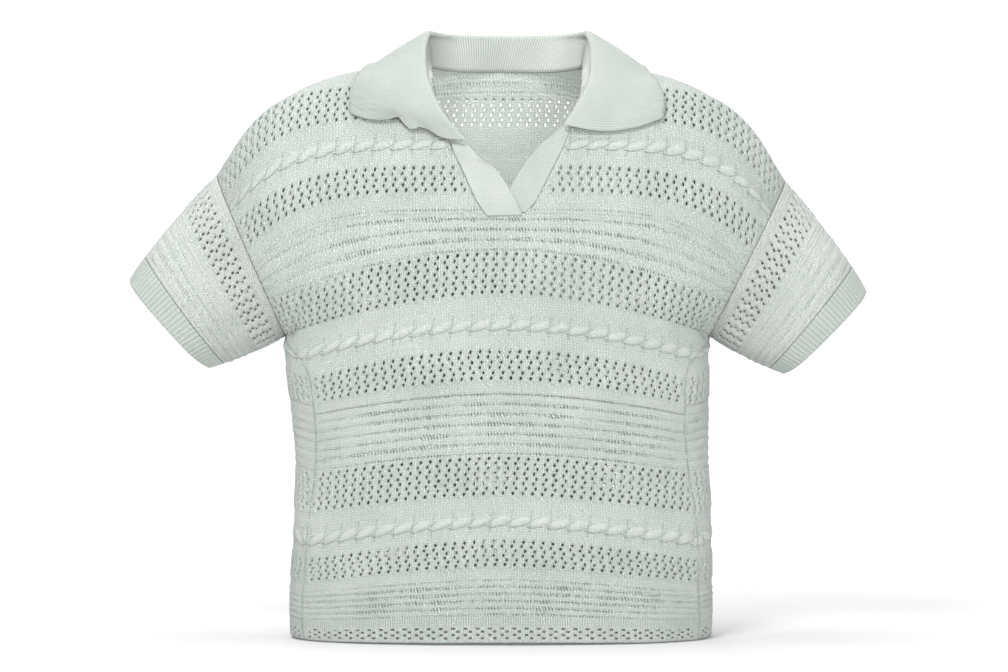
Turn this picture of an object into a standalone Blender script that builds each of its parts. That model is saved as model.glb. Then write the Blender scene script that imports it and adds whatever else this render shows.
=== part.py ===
# Short-sleeved open-knit jumper with a polo collar, hollow, in the pose it has when worn.
# X runs across the chest, -Y is the front, Z is up; the origin lies at the neck point level.
# All sizes are in millimetres and become metres when a mesh is made.
import math

import bmesh
import bpy
import numpy as np
from mathutils import Vector
from mathutils.bvhtree import BVHTree

MM = 0.001

# ---- driving dimensions -------------------------------------------------------------------
WALL = 1.8                # thickness of the knit
COLLAR_WALL = 2.0
SEAM_GAP = 0.2            # each panel stops this far short of its seam line
RIM_GAP = 0.4             # between armhole and sleeve, sleeve and cuff, strip and panel
RIDGE_HEIGHT = 1.3        # welts of the ripple bands
CABLE_HEIGHT = 2.6        # crest of the rope cables
CABLE_FLANK = 0.5         # low point between two turns of a cable
HEM_Z = -548.6
HEM_NET_Z = -533.0        # upper edge of the eyelet hem
SLIT_Z = -133.0           # lower end of the neck slit
UNDERARM_Z = -212.4       # the course that reaches the lower end of the armhole
SHOULDER_ROLL_Z = 17.0
TOP_Z = 20.0              # neck point and back neck
BODY_CENTRE_X = 1.0
NECK_CENTRE_X = 7.0
SQUARENESS = 2.4          # exponent of the body's cross-section, 2 would be an ellipse
COLUMNS = 10              # mesh columns from neck or centre to the side
LINE_POINTS = 161         # points of a course before it is divided evenly
NORMAL_STEP = 1.5         # courses this far above and below give a row's normals

# The armhole and the cuff's end are ellipses in slanted planes: top and bottom in X and Z.
SIDES = {
    "left": {"sign": -1.0, "top": (-283.0, -90.0), "under": (-213.0, -250.0),
             "cuff_top": (-372.0, -195.0), "cuff_under": (-293.0, -284.0)},
    "right": {"sign": 1.0, "top": (285.0, -96.0), "under": (208.0, -250.0),
              "cuff_top": (368.0, -206.0), "cuff_under": (286.0, -290.0)},
}
ARMHOLE_HALF_DEPTH = 52.0
CUFF_HALF_DEPTH = 47.0
SLEEVE_BULGE = 2.5
TUBE_COLUMNS = 22
CUFF_START = 0.785        # share of the sleeve's length where the rib begins
CUFF_RIBS = 72
RIB_HEIGHT = 0.9
SLEEVE_RIDGES = (0.045, 0.405, 0.445, 0.485, 0.56, 0.64, 0.72)   # shares of its length
SLEEVE_RIDGE_HALF = 0.02
SLEEVE_INNER_ROWS = 5

# Courses of the yoke, above the underarm, named by their height at the centre front.
# columns: height, angle round the armhole from its top, droop exponent, end angle of the row
YOKE = (
    (UNDERARM_Z, 180.0, 1.8, 90.0),
    (-198.0, 155.0, 1.8, 82.0),
    (-170.9, 128.0, 1.9, 72.0),
    (-150.0, 112.0, 3.0, 65.0),
    (-131.2, 99.0, 4.6, 60.0),
    (-111.7, 87.0, 4.8, 57.0),
    (-85.3, 69.0, 4.8, 55.0),
    (-66.0, 58.0, 5.5, 53.0),
    (-40.4, 48.0, 6.5, 52.0),
    (-22.0, 36.0, 7.0, 51.0),
    (-6.2, 25.0, 7.0, 50.0),
    (8.0, 17.0, 5.2, 50.0),
    (17.0, 9.0, 4.4, 50.0),
    (20.0, 0.0, 4.25, 50.0),
)
# Courses of the body, below the underarm.
# columns: height, height at the side seam, half width, seam angle, droop exponent,
# x halfway between the sides
BODY = (
    (-548.6, -550.5, 208.0, 66.0, 1.6, 1.0),
    (-544.0, -547.0, 210.5, 66.0, 1.6, 1.0),
    (-523.3, -532.0, 211.0, 66.0, 1.6, 1.0),
    (-490.2, -505.6, 210.5, 66.0, 1.6, 1.0),
    (-450.3, -473.2, 209.0, 66.0, 1.6, 2.0),
    (-403.7, -423.0, 207.5, 64.0, 1.6, 2.5),
    (-368.0, -386.7, 205.5, 61.0, 1.7, 2.0),
    (-311.8, -332.6, 208.0, 58.0, 1.8, 0.0),
    (-264.5, -293.8, 210.5, 58.5, 1.85, -2.0),
    (-247.1, -276.5, 211.5, 62.0, 1.85, -3.0),
    (-233.6, -265.0, 212.0, 70.0, 1.8, -3.0),
    (-222.0, -256.5, 211.5, 80.0, 1.8, -2.5),
    (UNDERARM_Z, -250.0, 210.5, 90.0, 1.8, -2.5),
)
# columns: height, depth of the centre front, depth of the centre back
DEPTHS = (
    (-548.6, 92.0, 87.0),
    (-450.3, 97.0, 91.0),
    (-368.0, 100.0, 93.0),
    (-264.5, 106.0, 95.0),
    (-198.0, 108.0, 97.0),
    (-150.0, 103.5, 97.0),
    (-131.2, 101.0, 96.5),
    (-111.7, 100.0, 96.0),
    (-85.3, 96.0, 94.5),
    (-55.6, 87.5, 91.5),
    (-22.0, 70.0, 87.0),
    (-6.2, 58.0, 83.5),
    (8.0, 39.0, 76.0),
    (17.0, 20.0, 76.0),
    (20.0, 0.0, 76.0),
)
# columns: height, half width of the neck opening, which is closed below the slit
NECK = (
    (-133.0, 17.0), (-124.4, 26.0), (-105.0, 36.5), (-85.3, 46.5), (-66.0, 55.0),
    (-40.4, 65.0), (-22.0, 71.0), (-6.2, 74.5), (8.0, 76.5), (20.0, 78.0),
)
BACK_NECK_Z = 8.0         # the course that meets the middle of the back neck
BACK_LIFT_Z = -6.2        # above this course the back rises to the neck
BACK_BLEND_Z = -131.2     # below this course the back's droop follows its angle
# The back curves over the shoulder blades; the last column below 1 rounds its corners more.
# columns: height, droop exponent, exponent of the way in
BACK_YOKE = (
    (-131.2, 4.6, 1.0),
    (-85.3, 4.8, 1.0),
    (-66.0, 4.6, 0.95),
    (-40.4, 3.6, 0.88),
    (-22.0, 2.7, 0.8),
    (-6.2, 2.4, 0.72),
    (8.0, 2.1, 0.63),
    (12.8, 2.6, 0.75),
    (17.6, 3.7, 0.9),
    (20.0, 4.25, 1.0),
)

# Bands of the pattern from hem to shoulder, named by their heights at the centre front.
# columns: kind, lower edge, upper edge, number of ridges
BANDS = (
    ("ripple", -526.6, -486.9, 6),
    ("plain", -473.6, -450.3, 0),
    ("cable", -438.7, -423.1, 1),
    ("plain", -403.7, -368.0, 0),
    ("ripple", -365.0, -307.0, 6),
    ("plain", -295.4, -264.5, 0),
    ("cable", -247.1, -233.6, 1),
    ("plain", -212.4, -191.0, 0),
    ("ripple", -174.8, -134.5, 4),
    ("plain", -111.7, -85.3, 0),
    ("cable", -73.0, -56.0, 1),
    ("plain", -40.4, -22.0, 0),
    ("plain", -6.2, 8.0, 0),
)
INNER_ROWS = (-541.0, -523.3, -490.2, -460.0, -430.0, -400.0, -370.0, -340.0, -311.8, -285.0,
              -264.5, -247.1, -233.6, -222.0, -212.4, -198.0, -180.0, -157.0,
              -111.7, -85.3, -66.0, -40.4, -22.0, -6.2, 8.0)
BACK_NECK_ROWS = (10.4, 12.8, 15.2, 17.6)

# Collar stations from centre back 0 to front end 1, as distances out from the neck's centre.
# columns: place, fold out, fold y, fold z, edge out, edge y, edge z, course at its foot
COLLAR_BACK = (
    (0.00, 0.0, 80.0, 56.0, 0.0, 88.5, -9.0, 8.0),
    (0.18, 50.0, 70.0, 56.0, 70.0, 82.0, -9.0, 12.5),
    (0.32, 72.0, 42.0, 55.5, 112.0, 60.0, 4.0, 16.5),
    (0.45, 79.0, 8.0, 52.0, 136.0, 12.0, 17.0, 20.0),
)
COLLAR_FRONT = {
    "left": (
        (0.57, 82.0, -28.0, 32.0, 143.0, -26.0, 11.0, 13.0),
        (0.70, 80.0, -55.0, 7.0, 151.0, -48.0, -3.0, -5.0),
        (0.85, 65.0, -87.0, -32.0, 155.0, -63.0, -19.0, -42.0),
        (1.00, 30.0, -101.0, -74.0, 154.0, -73.0, -31.0, -77.0),
    ),
    "right": (
        (0.57, 82.0, -28.0, 32.0, 138.0, -26.0, 11.0, 13.0),
        (0.70, 81.0, -55.0, 7.0, 147.0, -48.0, -6.0, -5.0),
        (0.85, 70.0, -78.0, -21.0, 153.0, -63.0, -23.0, -32.0),
        (1.00, 54.0, -90.0, -47.0, 152.0, -75.0, -38.0, -52.0),
    ),
}
COLLAR_CENTRE_X = 8.0
COLLAR_STATIONS = 21
FOLD_RADIUS = 3.0
FOLD_STEPS = 4
FALL_STEPS = 7
FALL_BOW = 1.5            # how far the fall stands out between fold and edge
FALL_REST = 4.2           # least distance from the panels to the middle of the collar's wall
FRONT_SAG = {"left": 2.0, "right": 9.0}    # how far the front ends hang in their middle
FRONT_SAG_FROM = 0.75     # station at which the sag begins
STAND_REST = 2.8          # the same for its stand and fold
FOOT_REST = 1.8           # and for its foot
FOOT_INSET = 1.8          # the stand's foot lies this far inside the neck edge
FOOT_RISE = 1.7

# Strips down the neck opening, bottom first.
# columns: outer x, outer z, inner x, inner z
PLACKETS = {
    "left": ((-12.4, -135.0, 21.4, -134.0), (-25.6, -110.0, 9.8, -110.0),
             (-38.0, -86.0, -6.6, -87.0), (-43.5, -75.0, -17.0, -81.0)),
    "right": ((23.4, -131.5, -8.0, -131.5), (40.5, -110.0, 8.0, -110.0),
              (53.0, -85.3, 23.4, -85.3), (62.0, -66.0, 39.0, -66.0),
              (66.0, -55.0, 52.0, -55.0)),
}
PLACKET_LENGTH_STEPS = 8
PLACKET_WIDTH_STEPS = 3

MINT_KNIT = "D0DED7"
RIB_KNIT = "D6DEDA"


# ---- curves through short tables ----------------------------------------------------------
def through(table, column, height):
    """Smooth curve through one column of a table, without overshoot (monotone cubic)."""
    rows = np.array(table, dtype=float)
    x = rows[:, 0]
    y = rows[:, column]
    step = np.diff(x)
    slope = np.diff(y) / step
    tangent = np.zeros(len(x))
    same = slope[:-1] * slope[1:] > 0
    mean = 2 * slope[:-1] * slope[1:] / np.where(same, slope[:-1] + slope[1:], 1.0)
    tangent[1:-1] = np.where(same, mean, 0.0)
    tangent[0] = slope[0]
    tangent[-1] = slope[-1]
    h = np.clip(height, x[0], x[-1])
    i = np.clip(np.searchsorted(x, h, side="right") - 1, 0, len(step) - 1)
    t = (h - x[i]) / step[i]
    rise = y[i] * (1 + 2 * t) * (1 - t) ** 2 + y[i + 1] * t * t * (3 - 2 * t)
    turn = tangent[i] * t * (1 - t) ** 2 - tangent[i + 1] * t * t * (1 - t)
    return float(rise + step[i] * turn)


def squared(value):
    """Sine or cosine raised towards a squarer cross-section, keeping its sign."""
    return np.sign(value) * np.abs(value) ** (2 / SQUARENESS)


def ring_point(side, angle, along):
    """Point of the sleeve's tube: angle from its top towards the front, share of its length."""
    size = SIDES[side]
    top = (1 - along) * np.array(size["top"]) + along * np.array(size["cuff_top"])
    under = (1 - along) * np.array(size["under"]) + along * np.array(size["cuff_under"])
    depth = (1 - along) * ARMHOLE_HALF_DEPTH + along * CUFF_HALF_DEPTH
    reach = (top - under) / 2 * math.cos(math.radians(angle))
    middle = (top + under) / 2
    return np.array([middle[0] + reach[0], -depth * math.sin(math.radians(angle)),
                     middle[1] + reach[1]])


def sleeve_axis(side):
    """Unit direction square to the armhole's plane, pointing out along the sleeve."""
    size = SIDES[side]
    rise = np.array(size["top"]) - np.array(size["under"])
    axis = np.array([rise[1], 0.0, -rise[0]]) * size["sign"]
    return axis / np.linalg.norm(axis)


# ---- surface of the front and back panels -------------------------------------------------
def course(side, front, height):
    """One knitted row of a panel as a dense line from the centre to the seam or armhole."""
    sign = SIDES[side]["sign"]
    if height >= UNDERARM_Z:
        angle = through(YOKE, 1, height)
        edge = ring_point(side, angle if front else -angle, 0.0)
        droop = through(YOKE, 2, height)
        end_angle = math.radians(through(YOKE, 3, height))
    else:
        seam = math.radians(through(BODY, 3, height))
        width = through(BODY, 2, height)
        centre = through(BODY, 5, height)
        edge = np.array([centre + sign * width * squared(math.sin(seam)),
                         -through(DEPTHS, 1, height) * squared(math.cos(seam)),
                         through(BODY, 1, height)])
        droop = through(BODY, 4, height)
        end_angle = seam if front else math.pi - seam
    depth = -through(DEPTHS, 1, height) if front else through(DEPTHS, 2, height)
    level = height
    roundness = 1.0
    if not front:
        if height >= BACK_BLEND_Z:
            droop = through(BACK_YOKE, 1, height)
            roundness = through(BACK_YOKE, 2, height)
        rise = np.clip((height - BACK_LIFT_Z) / (BACK_NECK_Z - BACK_LIFT_Z), 0.0, 1.0)
        level = min(TOP_Z, height + (TOP_Z - BACK_NECK_Z) * rise)
        depth *= math.cos(back_neck_turn(height))
    turn = np.linspace(0.0, end_angle, LINE_POINTS)
    across = squared(np.sin(turn)) / squared(math.sin(end_angle))
    inward = ((1 - squared(np.cos(turn))) / (1 - squared(math.cos(end_angle)))) ** roundness
    along = across
    if not front:
        blend = np.clip((BACK_BLEND_Z - height) / (BACK_BLEND_Z - UNDERARM_Z), 0.0, 1.0)
        along = (1 - blend) * np.minimum(across, 1.0) + blend * turn / end_angle
    x = BODY_CENTRE_X + (edge[0] - BODY_CENTRE_X) * across
    y = depth + (edge[1] - depth) * inward
    z = level + (edge[2] - level) * along ** droop
    return np.stack([x, y, z], axis=1)


def back_neck_turn(height):
    """Angle round the back neck, from its centre to the neck point."""
    return max(0.0, (height - BACK_NECK_Z) / (TOP_Z - BACK_NECK_Z)) * math.pi / 2


def neck_edge_x(side, front, height):
    """X at which a course begins: the centre strip, the neck opening or the centre back."""
    if front:
        half = through(NECK, 1, height)
        return NECK_CENTRE_X + SIDES[side]["sign"] * half
    open_share = math.sin(back_neck_turn(height))
    centre = BODY_CENTRE_X + (NECK_CENTRE_X - BODY_CENTRE_X) * open_share
    return centre + SIDES[side]["sign"] * NECK[-1][1] * open_share


def row_points(side, front, height, columns):
    """Points of a course from the neck edge or centre to the seam, evenly spaced."""
    line = course(side, front, height)
    reach = np.concatenate([[0.0], np.cumsum(np.linalg.norm(np.diff(line, axis=0), axis=1))])
    outward = SIDES[side]["sign"] * (line[:, 0] - neck_edge_x(side, front, height))
    widest = int(np.argmax(outward)) + 1
    begin = np.interp(0.0, outward[:widest], reach[:widest])
    stops = np.linspace(begin, reach[-1] - SEAM_GAP, columns + 1)
    return np.stack([np.interp(stops, reach, line[:, axis]) for axis in range(3)], axis=1)


def with_normals(side, front, height, columns):
    """Row points and the outward normals of the panel there, fitted to its seams."""
    here = row_points(side, front, height, columns)
    up = row_points(side, front, min(height + NORMAL_STEP, TOP_Z), columns)
    down = row_points(side, front, max(height - NORMAL_STEP, HEM_Z), columns)
    normal = np.cross(np.gradient(here, axis=0), up - down)
    normal *= SIDES[side]["sign"] * (1 if front else -1)
    normal /= np.linalg.norm(normal, axis=1, keepdims=True)
    if height > UNDERARM_Z:
        # The wall's inner edge may not reach past the armhole's plane.
        axis = sleeve_axis(side)
        normal[-1] -= axis * min(0.0, normal[-1].dot(axis))
    else:
        # Both panels take one normal along the side seam, so their inner edges run side by side.
        across = course(side, True, height)[-2] - course(side, False, height)[-2]
        above = course(side, True, min(height + NORMAL_STEP, UNDERARM_Z))[-1]
        below = course(side, True, max(height - NORMAL_STEP, HEM_Z))[-1]
        seam = np.cross(across, above - below)
        normal[-1] = seam * np.sign(seam[0]) * SIDES[side]["sign"]
    if height == TOP_Z:
        normal[:, 1] = 0.0
    return here, normal / np.linalg.norm(normal, axis=1, keepdims=True)


# ---- shells made row by row ---------------------------------------------------------------
class Shell:
    """Collects rows of points and the faces stitched between them."""

    def __init__(self):
        self.points = []
        self.faces = []

    def row(self, points, closed=False):
        start = len(self.points)
        self.points.extend([tuple(p) for p in points])
        indices = list(range(start, len(self.points)))
        return indices + [start] if closed else indices

    def share(self, row):
        """Distance along a row of points, from 0 to 1."""
        steps = np.diff(np.array([self.points[i] for i in row]), axis=0)
        total = np.concatenate([[0.0], np.cumsum(np.linalg.norm(steps, axis=1))])
        return total / total[-1]

    def stitch(self, a, b):
        """Fills between two rows: quads where they match, triangles where they do not."""
        if len(a) == len(b):
            self.faces.extend(zip(a[:-1], a[1:], b[1:], b[:-1]))
            return
        ends_a = list(self.share(a)[1:]) + [math.inf]
        ends_b = list(self.share(b)[1:]) + [math.inf]
        i = j = 0
        while i < len(a) - 1 or j < len(b) - 1:
            if ends_a[i] <= ends_b[j]:
                self.faces.append((a[i], a[i + 1], b[j]))
                i += 1
            else:
                self.faces.append((a[i], b[j + 1], b[j]))
                j += 1

    def build(self, name, material, collection):
        mesh = bpy.data.meshes.new(name)
        mesh.from_pydata([tuple(c * MM for c in p) for p in self.points], [], self.faces)
        work = bmesh.new()
        work.from_mesh(mesh)
        bmesh.ops.recalc_face_normals(work, faces=work.faces)
        if work.calc_volume(signed=True) < 0:
            bmesh.ops.reverse_faces(work, faces=work.faces)
        work.to_mesh(mesh)
        work.free()
        mesh.shade_smooth()
        mesh.materials.append(material)
        piece = bpy.data.objects.new(name, mesh)
        collection.objects.link(piece)
        return piece


# ---- front and back -----------------------------------------------------------------------
def pattern_rows():
    """Height of each outer row with how far it stands out, and the cable crests among them."""
    rows = {HEM_Z: 0.0, HEM_NET_Z: 0.0, TOP_Z: 0.0}
    cables = set()
    for kind, low, high, count in BANDS:
        rows[low] = 0.0
        rows[high] = 0.0
        for i in range(count):
            crest = low + (high - low) * (i + 0.5) / count
            if kind == "cable":
                cables.add(crest)
                rows[crest] = CABLE_HEIGHT
                continue
            rows[crest] = RIDGE_HEIGHT
            if i:
                rows[low + (high - low) * i / count] = 0.0
    return rows, cables


def half_row(side, front, height, raised, is_cable, split):
    """One half of a row, moved out along its normals; relief dies away at seams."""
    columns = COLUMNS * 2 if is_cable else COLUMNS
    points, normals = with_normals(side, front, height, columns)
    out = np.full(columns + 1, raised)
    if is_cable:
        out[1::2] = CABLE_FLANK
    if raised > 0:
        out[-1] = 0.0
        out[0] = 0.0 if split else out[0]
    points = points + normals * out[:, None]
    if height == TOP_Z:
        points[:, 1] += -SEAM_GAP if front else SEAM_GAP
    return points


def add_sheet(shell, front, heights, raised, cables, split_above):
    """Rows of a whole sheet from hem to shoulder, split in two halves at the neck."""
    rows = []
    for height in heights:
        out = raised.get(height, -WALL)
        crest = height in cables and out > 0
        halves = [half_row(side, front, height, out, crest, height > split_above)
                  for side in ("left", "right")]
        left = halves[0][::-1]
        right = halves[1]
        if height > split_above:
            rows.append((shell.row(left), shell.row(right)))
        elif front:
            centre = (left[-1] + right[0]) / 2
            centre[1] = course("left", True, height)[0, 1] - (CABLE_FLANK if crest else out)
            rows.append((shell.row(np.vstack([left, [centre], right])),))
        else:
            rows.append((shell.row(np.vstack([left, right[1:]])),))
    for low, high in zip(rows[:-1], rows[1:]):
        if len(low) < len(high):
            low = (low[0][:len(high[0])], low[0][-len(high[1]):])
        for a, b in zip(low, high):
            shell.stitch(a, b)
    return rows


def close_rims(shell, outer, inner):
    """Joins the outer and inner sheets along hem, side edges, neck and shoulders."""
    shell.stitch(outer[0][0], inner[0][0])
    shell.stitch([row[0][0] for row in outer], [row[0][0] for row in inner])
    shell.stitch([row[-1][-1] for row in outer], [row[-1][-1] for row in inner])
    necks = []
    for rows in (outer, inner):
        whole = [row[0] for row in rows if len(row) == 1][-1]
        split = [row for row in rows if len(row) == 2]
        base = whole[COLUMNS:len(whole) - COLUMNS]
        necks.append((base, [base[0]] + [row[0][-1] for row in split],
                      [base[-1]] + [row[1][0] for row in split]))
    for a, b in zip(*necks):
        if len(a) > 1:
            shell.stitch(a, b)
    for a, b in zip(outer[-1], inner[-1]):
        shell.stitch(a, b)


def make_panel(name, front, material, collection):
    """A panel as a closed wall, patterned outside, and the number of its outer faces."""
    relief, cables = pattern_rows()
    inner = {HEM_Z, TOP_Z, *INNER_ROWS}
    if front:
        relief.update({SLIT_Z: 0.0, SHOULDER_ROLL_Z: 0.0})
        inner.update({SLIT_Z, SHOULDER_ROLL_Z})
    else:
        relief.update({height: 0.0 for height in BACK_NECK_ROWS})
        inner.update(BACK_NECK_ROWS)
    shell = Shell()
    split_above = SLIT_Z if front else BACK_NECK_Z
    outer_rows = add_sheet(shell, front, sorted(relief), relief, cables, split_above)
    outside = len(shell.faces)
    inner_rows = add_sheet(shell, front, sorted(inner), {}, set(), split_above)
    close_rims(shell, outer_rows, inner_rows)
    return shell.build(name, material, collection), outside


# ---- sleeves and cuffs --------------------------------------------------------------------
def tube_ring(side, along, count, out, shift):
    """Ring of the sleeve's tube, moved out within its plane and on along the sleeve's axis."""
    angles = np.linspace(0.0, 360.0, count, endpoint=False)
    here = np.array([ring_point(side, a, along) for a in angles])
    height = ring_point(side, 0.0, along) - ring_point(side, 180.0, along)
    run = np.roll(here, -1, axis=0) - np.roll(here, 1, axis=0)
    normal = np.cross(run, [height[2], 0.0, -height[0]])
    normal /= np.linalg.norm(normal, axis=1, keepdims=True)
    bulge = SLEEVE_BULGE * math.sin(math.pi * along)
    return here + normal * (bulge + out)[:, None] + sleeve_axis(side) * shift


def make_tube(name, side, outer, inner, counts, shift, material, collection):
    """A tube as a closed wall from its outer and inner rows of (share of length, relief)."""
    shell = Shell()
    sheets = []
    for rows, count in zip((outer, inner), counts):
        rings = []
        for along, out in rows:
            relief = np.full(count, out)
            if count == CUFF_RIBS * 2:
                relief[1::2] -= RIB_HEIGHT
            rings.append(shell.row(tube_ring(side, along, count, relief, shift), closed=True))
        for low, high in zip(rings[:-1], rings[1:]):
            shell.stitch(low, high)
        sheets.append(rings)
    shell.stitch(sheets[0][0], sheets[1][0])
    shell.stitch(sheets[0][-1], sheets[1][-1])
    return shell.build(name, material, collection)


def make_sleeve(side, material, collection):
    outer = [(0.0, 0.0)]
    for crest in SLEEVE_RIDGES:
        outer += [(crest - SLEEVE_RIDGE_HALF, 0.0), (crest, RIDGE_HEIGHT)]
        outer += [(crest + SLEEVE_RIDGE_HALF, 0.0)]
    outer.append((CUFF_START, 0.0))
    inner = [(CUFF_START * i / SLEEVE_INNER_ROWS, -WALL) for i in range(SLEEVE_INNER_ROWS + 1)]
    return make_tube("sleeve_" + side, side, outer, inner, (TUBE_COLUMNS, TUBE_COLUMNS),
                     RIM_GAP, material, collection)


def make_cuff(side, material, collection):
    outer = [(CUFF_START, 0.0), (1.0, 0.0)]
    inner = [(CUFF_START, -WALL), (1.0, -WALL)]
    return make_tube("cuff_" + side, side, outer, inner, (CUFF_RIBS * 2, TUBE_COLUMNS),
                     2 * RIM_GAP, material, collection)


# ---- collar -------------------------------------------------------------------------------
def search_tree(panels, outer_only):
    """Search tree of the panels' faces; their outer ones come first and face outwards."""
    points = []
    faces = []
    for panel, outside in panels:
        start = len(points)
        points.extend([vertex.co / MM for vertex in panel.data.vertices])
        chosen = panel.data.polygons[:outside] if outer_only else panel.data.polygons
        faces.extend([[start + i for i in face.vertices] for face in chosen])
    return BVHTree.FromPolygons(points, faces)


def rest_on(tree, point, distance):
    """Moves a point out until it lies at least this far outside the panels."""
    near, normal, _, _ = tree.find_nearest(Vector(point))
    if (Vector(point) - near).dot(normal) < distance:
        return np.array(near + normal * distance)
    return point


def clear_of(tree, point, distance):
    """Moves a point away from the panels and their edges until it is this far from them."""
    near, _, _, away = tree.find_nearest(Vector(point))
    return np.array(near + (Vector(point) - near) * max(1.0, distance / away))


def collar_station(side, place):
    """Fold point, outer edge point and foot of the collar at a station."""
    table = COLLAR_BACK + COLLAR_FRONT[side]
    values = [through(table, column, place) for column in range(1, 8)]
    sign = SIDES[side]["sign"]
    fold = np.array([COLLAR_CENTRE_X + sign * values[0], values[1], values[2]])
    edge = np.array([COLLAR_CENTRE_X + sign * values[3], values[4], values[5]])
    front = place > COLLAR_BACK[-1][0]
    foot = row_points(side, front, values[6], COLUMNS)[0]
    inward = np.array([COLLAR_CENTRE_X - foot[0], -foot[1], 0.0])
    foot = foot + inward / np.linalg.norm(inward) * FOOT_INSET + np.array([0.0, 0.0, FOOT_RISE])
    return fold, edge, foot


def collar_section(side, place, outer, whole):
    """Middle line of the collar's wall: up the stand, over the fold and down the fall."""
    fold, edge, foot = collar_station(side, place)
    crest = (fold - edge) / np.linalg.norm(fold - edge)
    outward = np.array([fold[0] - COLLAR_CENTRE_X, fold[1], 0.0])
    outward /= np.linalg.norm(outward)
    outward -= crest * outward.dot(crest)
    outward /= np.linalg.norm(outward)
    centre = fold - crest * FOLD_RADIUS
    stand_top = centre - outward * FOLD_RADIUS
    foot = clear_of(whole, foot, FOOT_REST)
    line = [foot, clear_of(whole, (foot + stand_top) / 2, STAND_REST)]
    for i in range(FOLD_STEPS + 1):
        turn = math.pi * (1 - i / FOLD_STEPS)
        point = centre + FOLD_RADIUS * (outward * math.cos(turn) + crest * math.sin(turn))
        line.append(clear_of(whole, point, STAND_REST))
    start = line[-1]
    sag = FRONT_SAG[side] * max(0.0, (place - FRONT_SAG_FROM) / (1 - FRONT_SAG_FROM)) ** 2
    for i in range(1, FALL_STEPS + 1):
        along = i / FALL_STEPS
        middle = math.sin(math.pi * along)
        point = start + (edge - start) * along + outward * FALL_BOW * middle
        point[2] -= sag * middle
        line.append(rest_on(outer, point, FALL_REST))
    return np.array(line)


def wall_grid(name, middle, wall, material, collection):
    """Closed wall of even thickness about a grid of points."""
    run = np.gradient(middle, axis=0)
    rise = np.gradient(middle, axis=1)
    normal = np.cross(run, rise)
    normal /= np.linalg.norm(normal, axis=2, keepdims=True)
    shell = Shell()
    sheets = []
    for side in (0.5, -0.5):
        rows = [shell.row(line) for line in middle + normal * wall * side]
        for low, high in zip(rows[:-1], rows[1:]):
            shell.stitch(low, high)
        sheets.append(rows)
    front, back = sheets
    shell.stitch(front[0], back[0])
    shell.stitch(front[-1], back[-1])
    for end in (0, -1):
        shell.stitch([row[end] for row in front], [row[end] for row in back])
    return shell.build(name, material, collection)


def make_collar(panels, material, collection):
    trees = (search_tree(panels, True), search_tree(panels, False))
    places = np.linspace(0.0, 1.0, COLLAR_STATIONS)
    left = [collar_section("left", place, *trees) for place in places[::-1]]
    right = [collar_section("right", place, *trees) for place in places[1:]]
    return wall_grid("collar", np.array(left + right), COLLAR_WALL, material, collection)


# ---- strips of the neck opening -----------------------------------------------------------
def front_depth(x, z):
    """Y of the front panel's outer surface at a place near the neck opening."""
    line = course("left" if x < BODY_CENTRE_X else "right", True, z)
    return float(np.interp(abs(x - BODY_CENTRE_X), np.abs(line[:, 0] - BODY_CENTRE_X), line[:, 1]))


def make_placket(side, material, collection):
    """The left strip lies on top of the panel, the right one inside the opening."""
    rows = np.array(PLACKETS[side])
    at = np.linspace(0.0, len(rows) - 1.0, PLACKET_LENGTH_STEPS + 1)
    stations = np.stack([np.interp(at, range(len(rows)), rows[:, c]) for c in range(4)], axis=1)
    sink = WALL / 2 if side == "right" else -(RIM_GAP + WALL / 2)
    middle = []
    for outer_x, outer_z, inner_x, inner_z in stations:
        x = np.linspace(outer_x, inner_x, PLACKET_WIDTH_STEPS + 1)
        z = np.linspace(outer_z, inner_z, PLACKET_WIDTH_STEPS + 1)
        y = [front_depth(a, b) + sink for a, b in zip(x, z)]
        middle.append(np.stack([x, y, z], axis=1))
    return wall_grid("placket_" + side, np.array(middle), WALL, material, collection)


# ---- materials and the whole garment ------------------------------------------------------
def knit_material(name, colour, roughness):
    """Matte cotton: one even colour, no metal, hardly any gloss."""
    material = bpy.data.materials.new(name)
    material.use_nodes = True
    shader = material.node_tree.nodes["Principled BSDF"]
    channels = [int(colour[i:i + 2], 16) / 255 for i in (0, 2, 4)]
    linear = [c / 12.92 if c <= 0.04045 else ((c + 0.055) / 1.055) ** 2.4 for c in channels]
    shader.inputs["Base Color"].default_value = (*linear, 1.0)
    shader.inputs["Roughness"].default_value = roughness
    shader.inputs["Metallic"].default_value = 0.0
    return material


def make_jumper():
    for thing in list(bpy.data.objects):
        bpy.data.objects.remove(thing, do_unlink=True)
    collection = bpy.data.collections.new("open_knit_jumper")
    bpy.context.scene.collection.children.link(collection)
    panels = [make_panel("front", True, knit_material("front_knit", MINT_KNIT, 0.9), collection),
              make_panel("back", False, knit_material("back_knit", MINT_KNIT, 0.9), collection)]
    for side in SIDES:
        make_sleeve(side, knit_material("sleeve_knit_" + side, MINT_KNIT, 0.9), collection)
        make_cuff(side, knit_material("cuff_rib_" + side, RIB_KNIT, 0.88), collection)
        make_placket(side, knit_material("placket_knit_" + side, RIB_KNIT, 0.88), collection)
    make_collar(panels, knit_material("collar_rib", RIB_KNIT, 0.88), collection)


make_jumper()
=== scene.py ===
import math
from functools import partial

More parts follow.
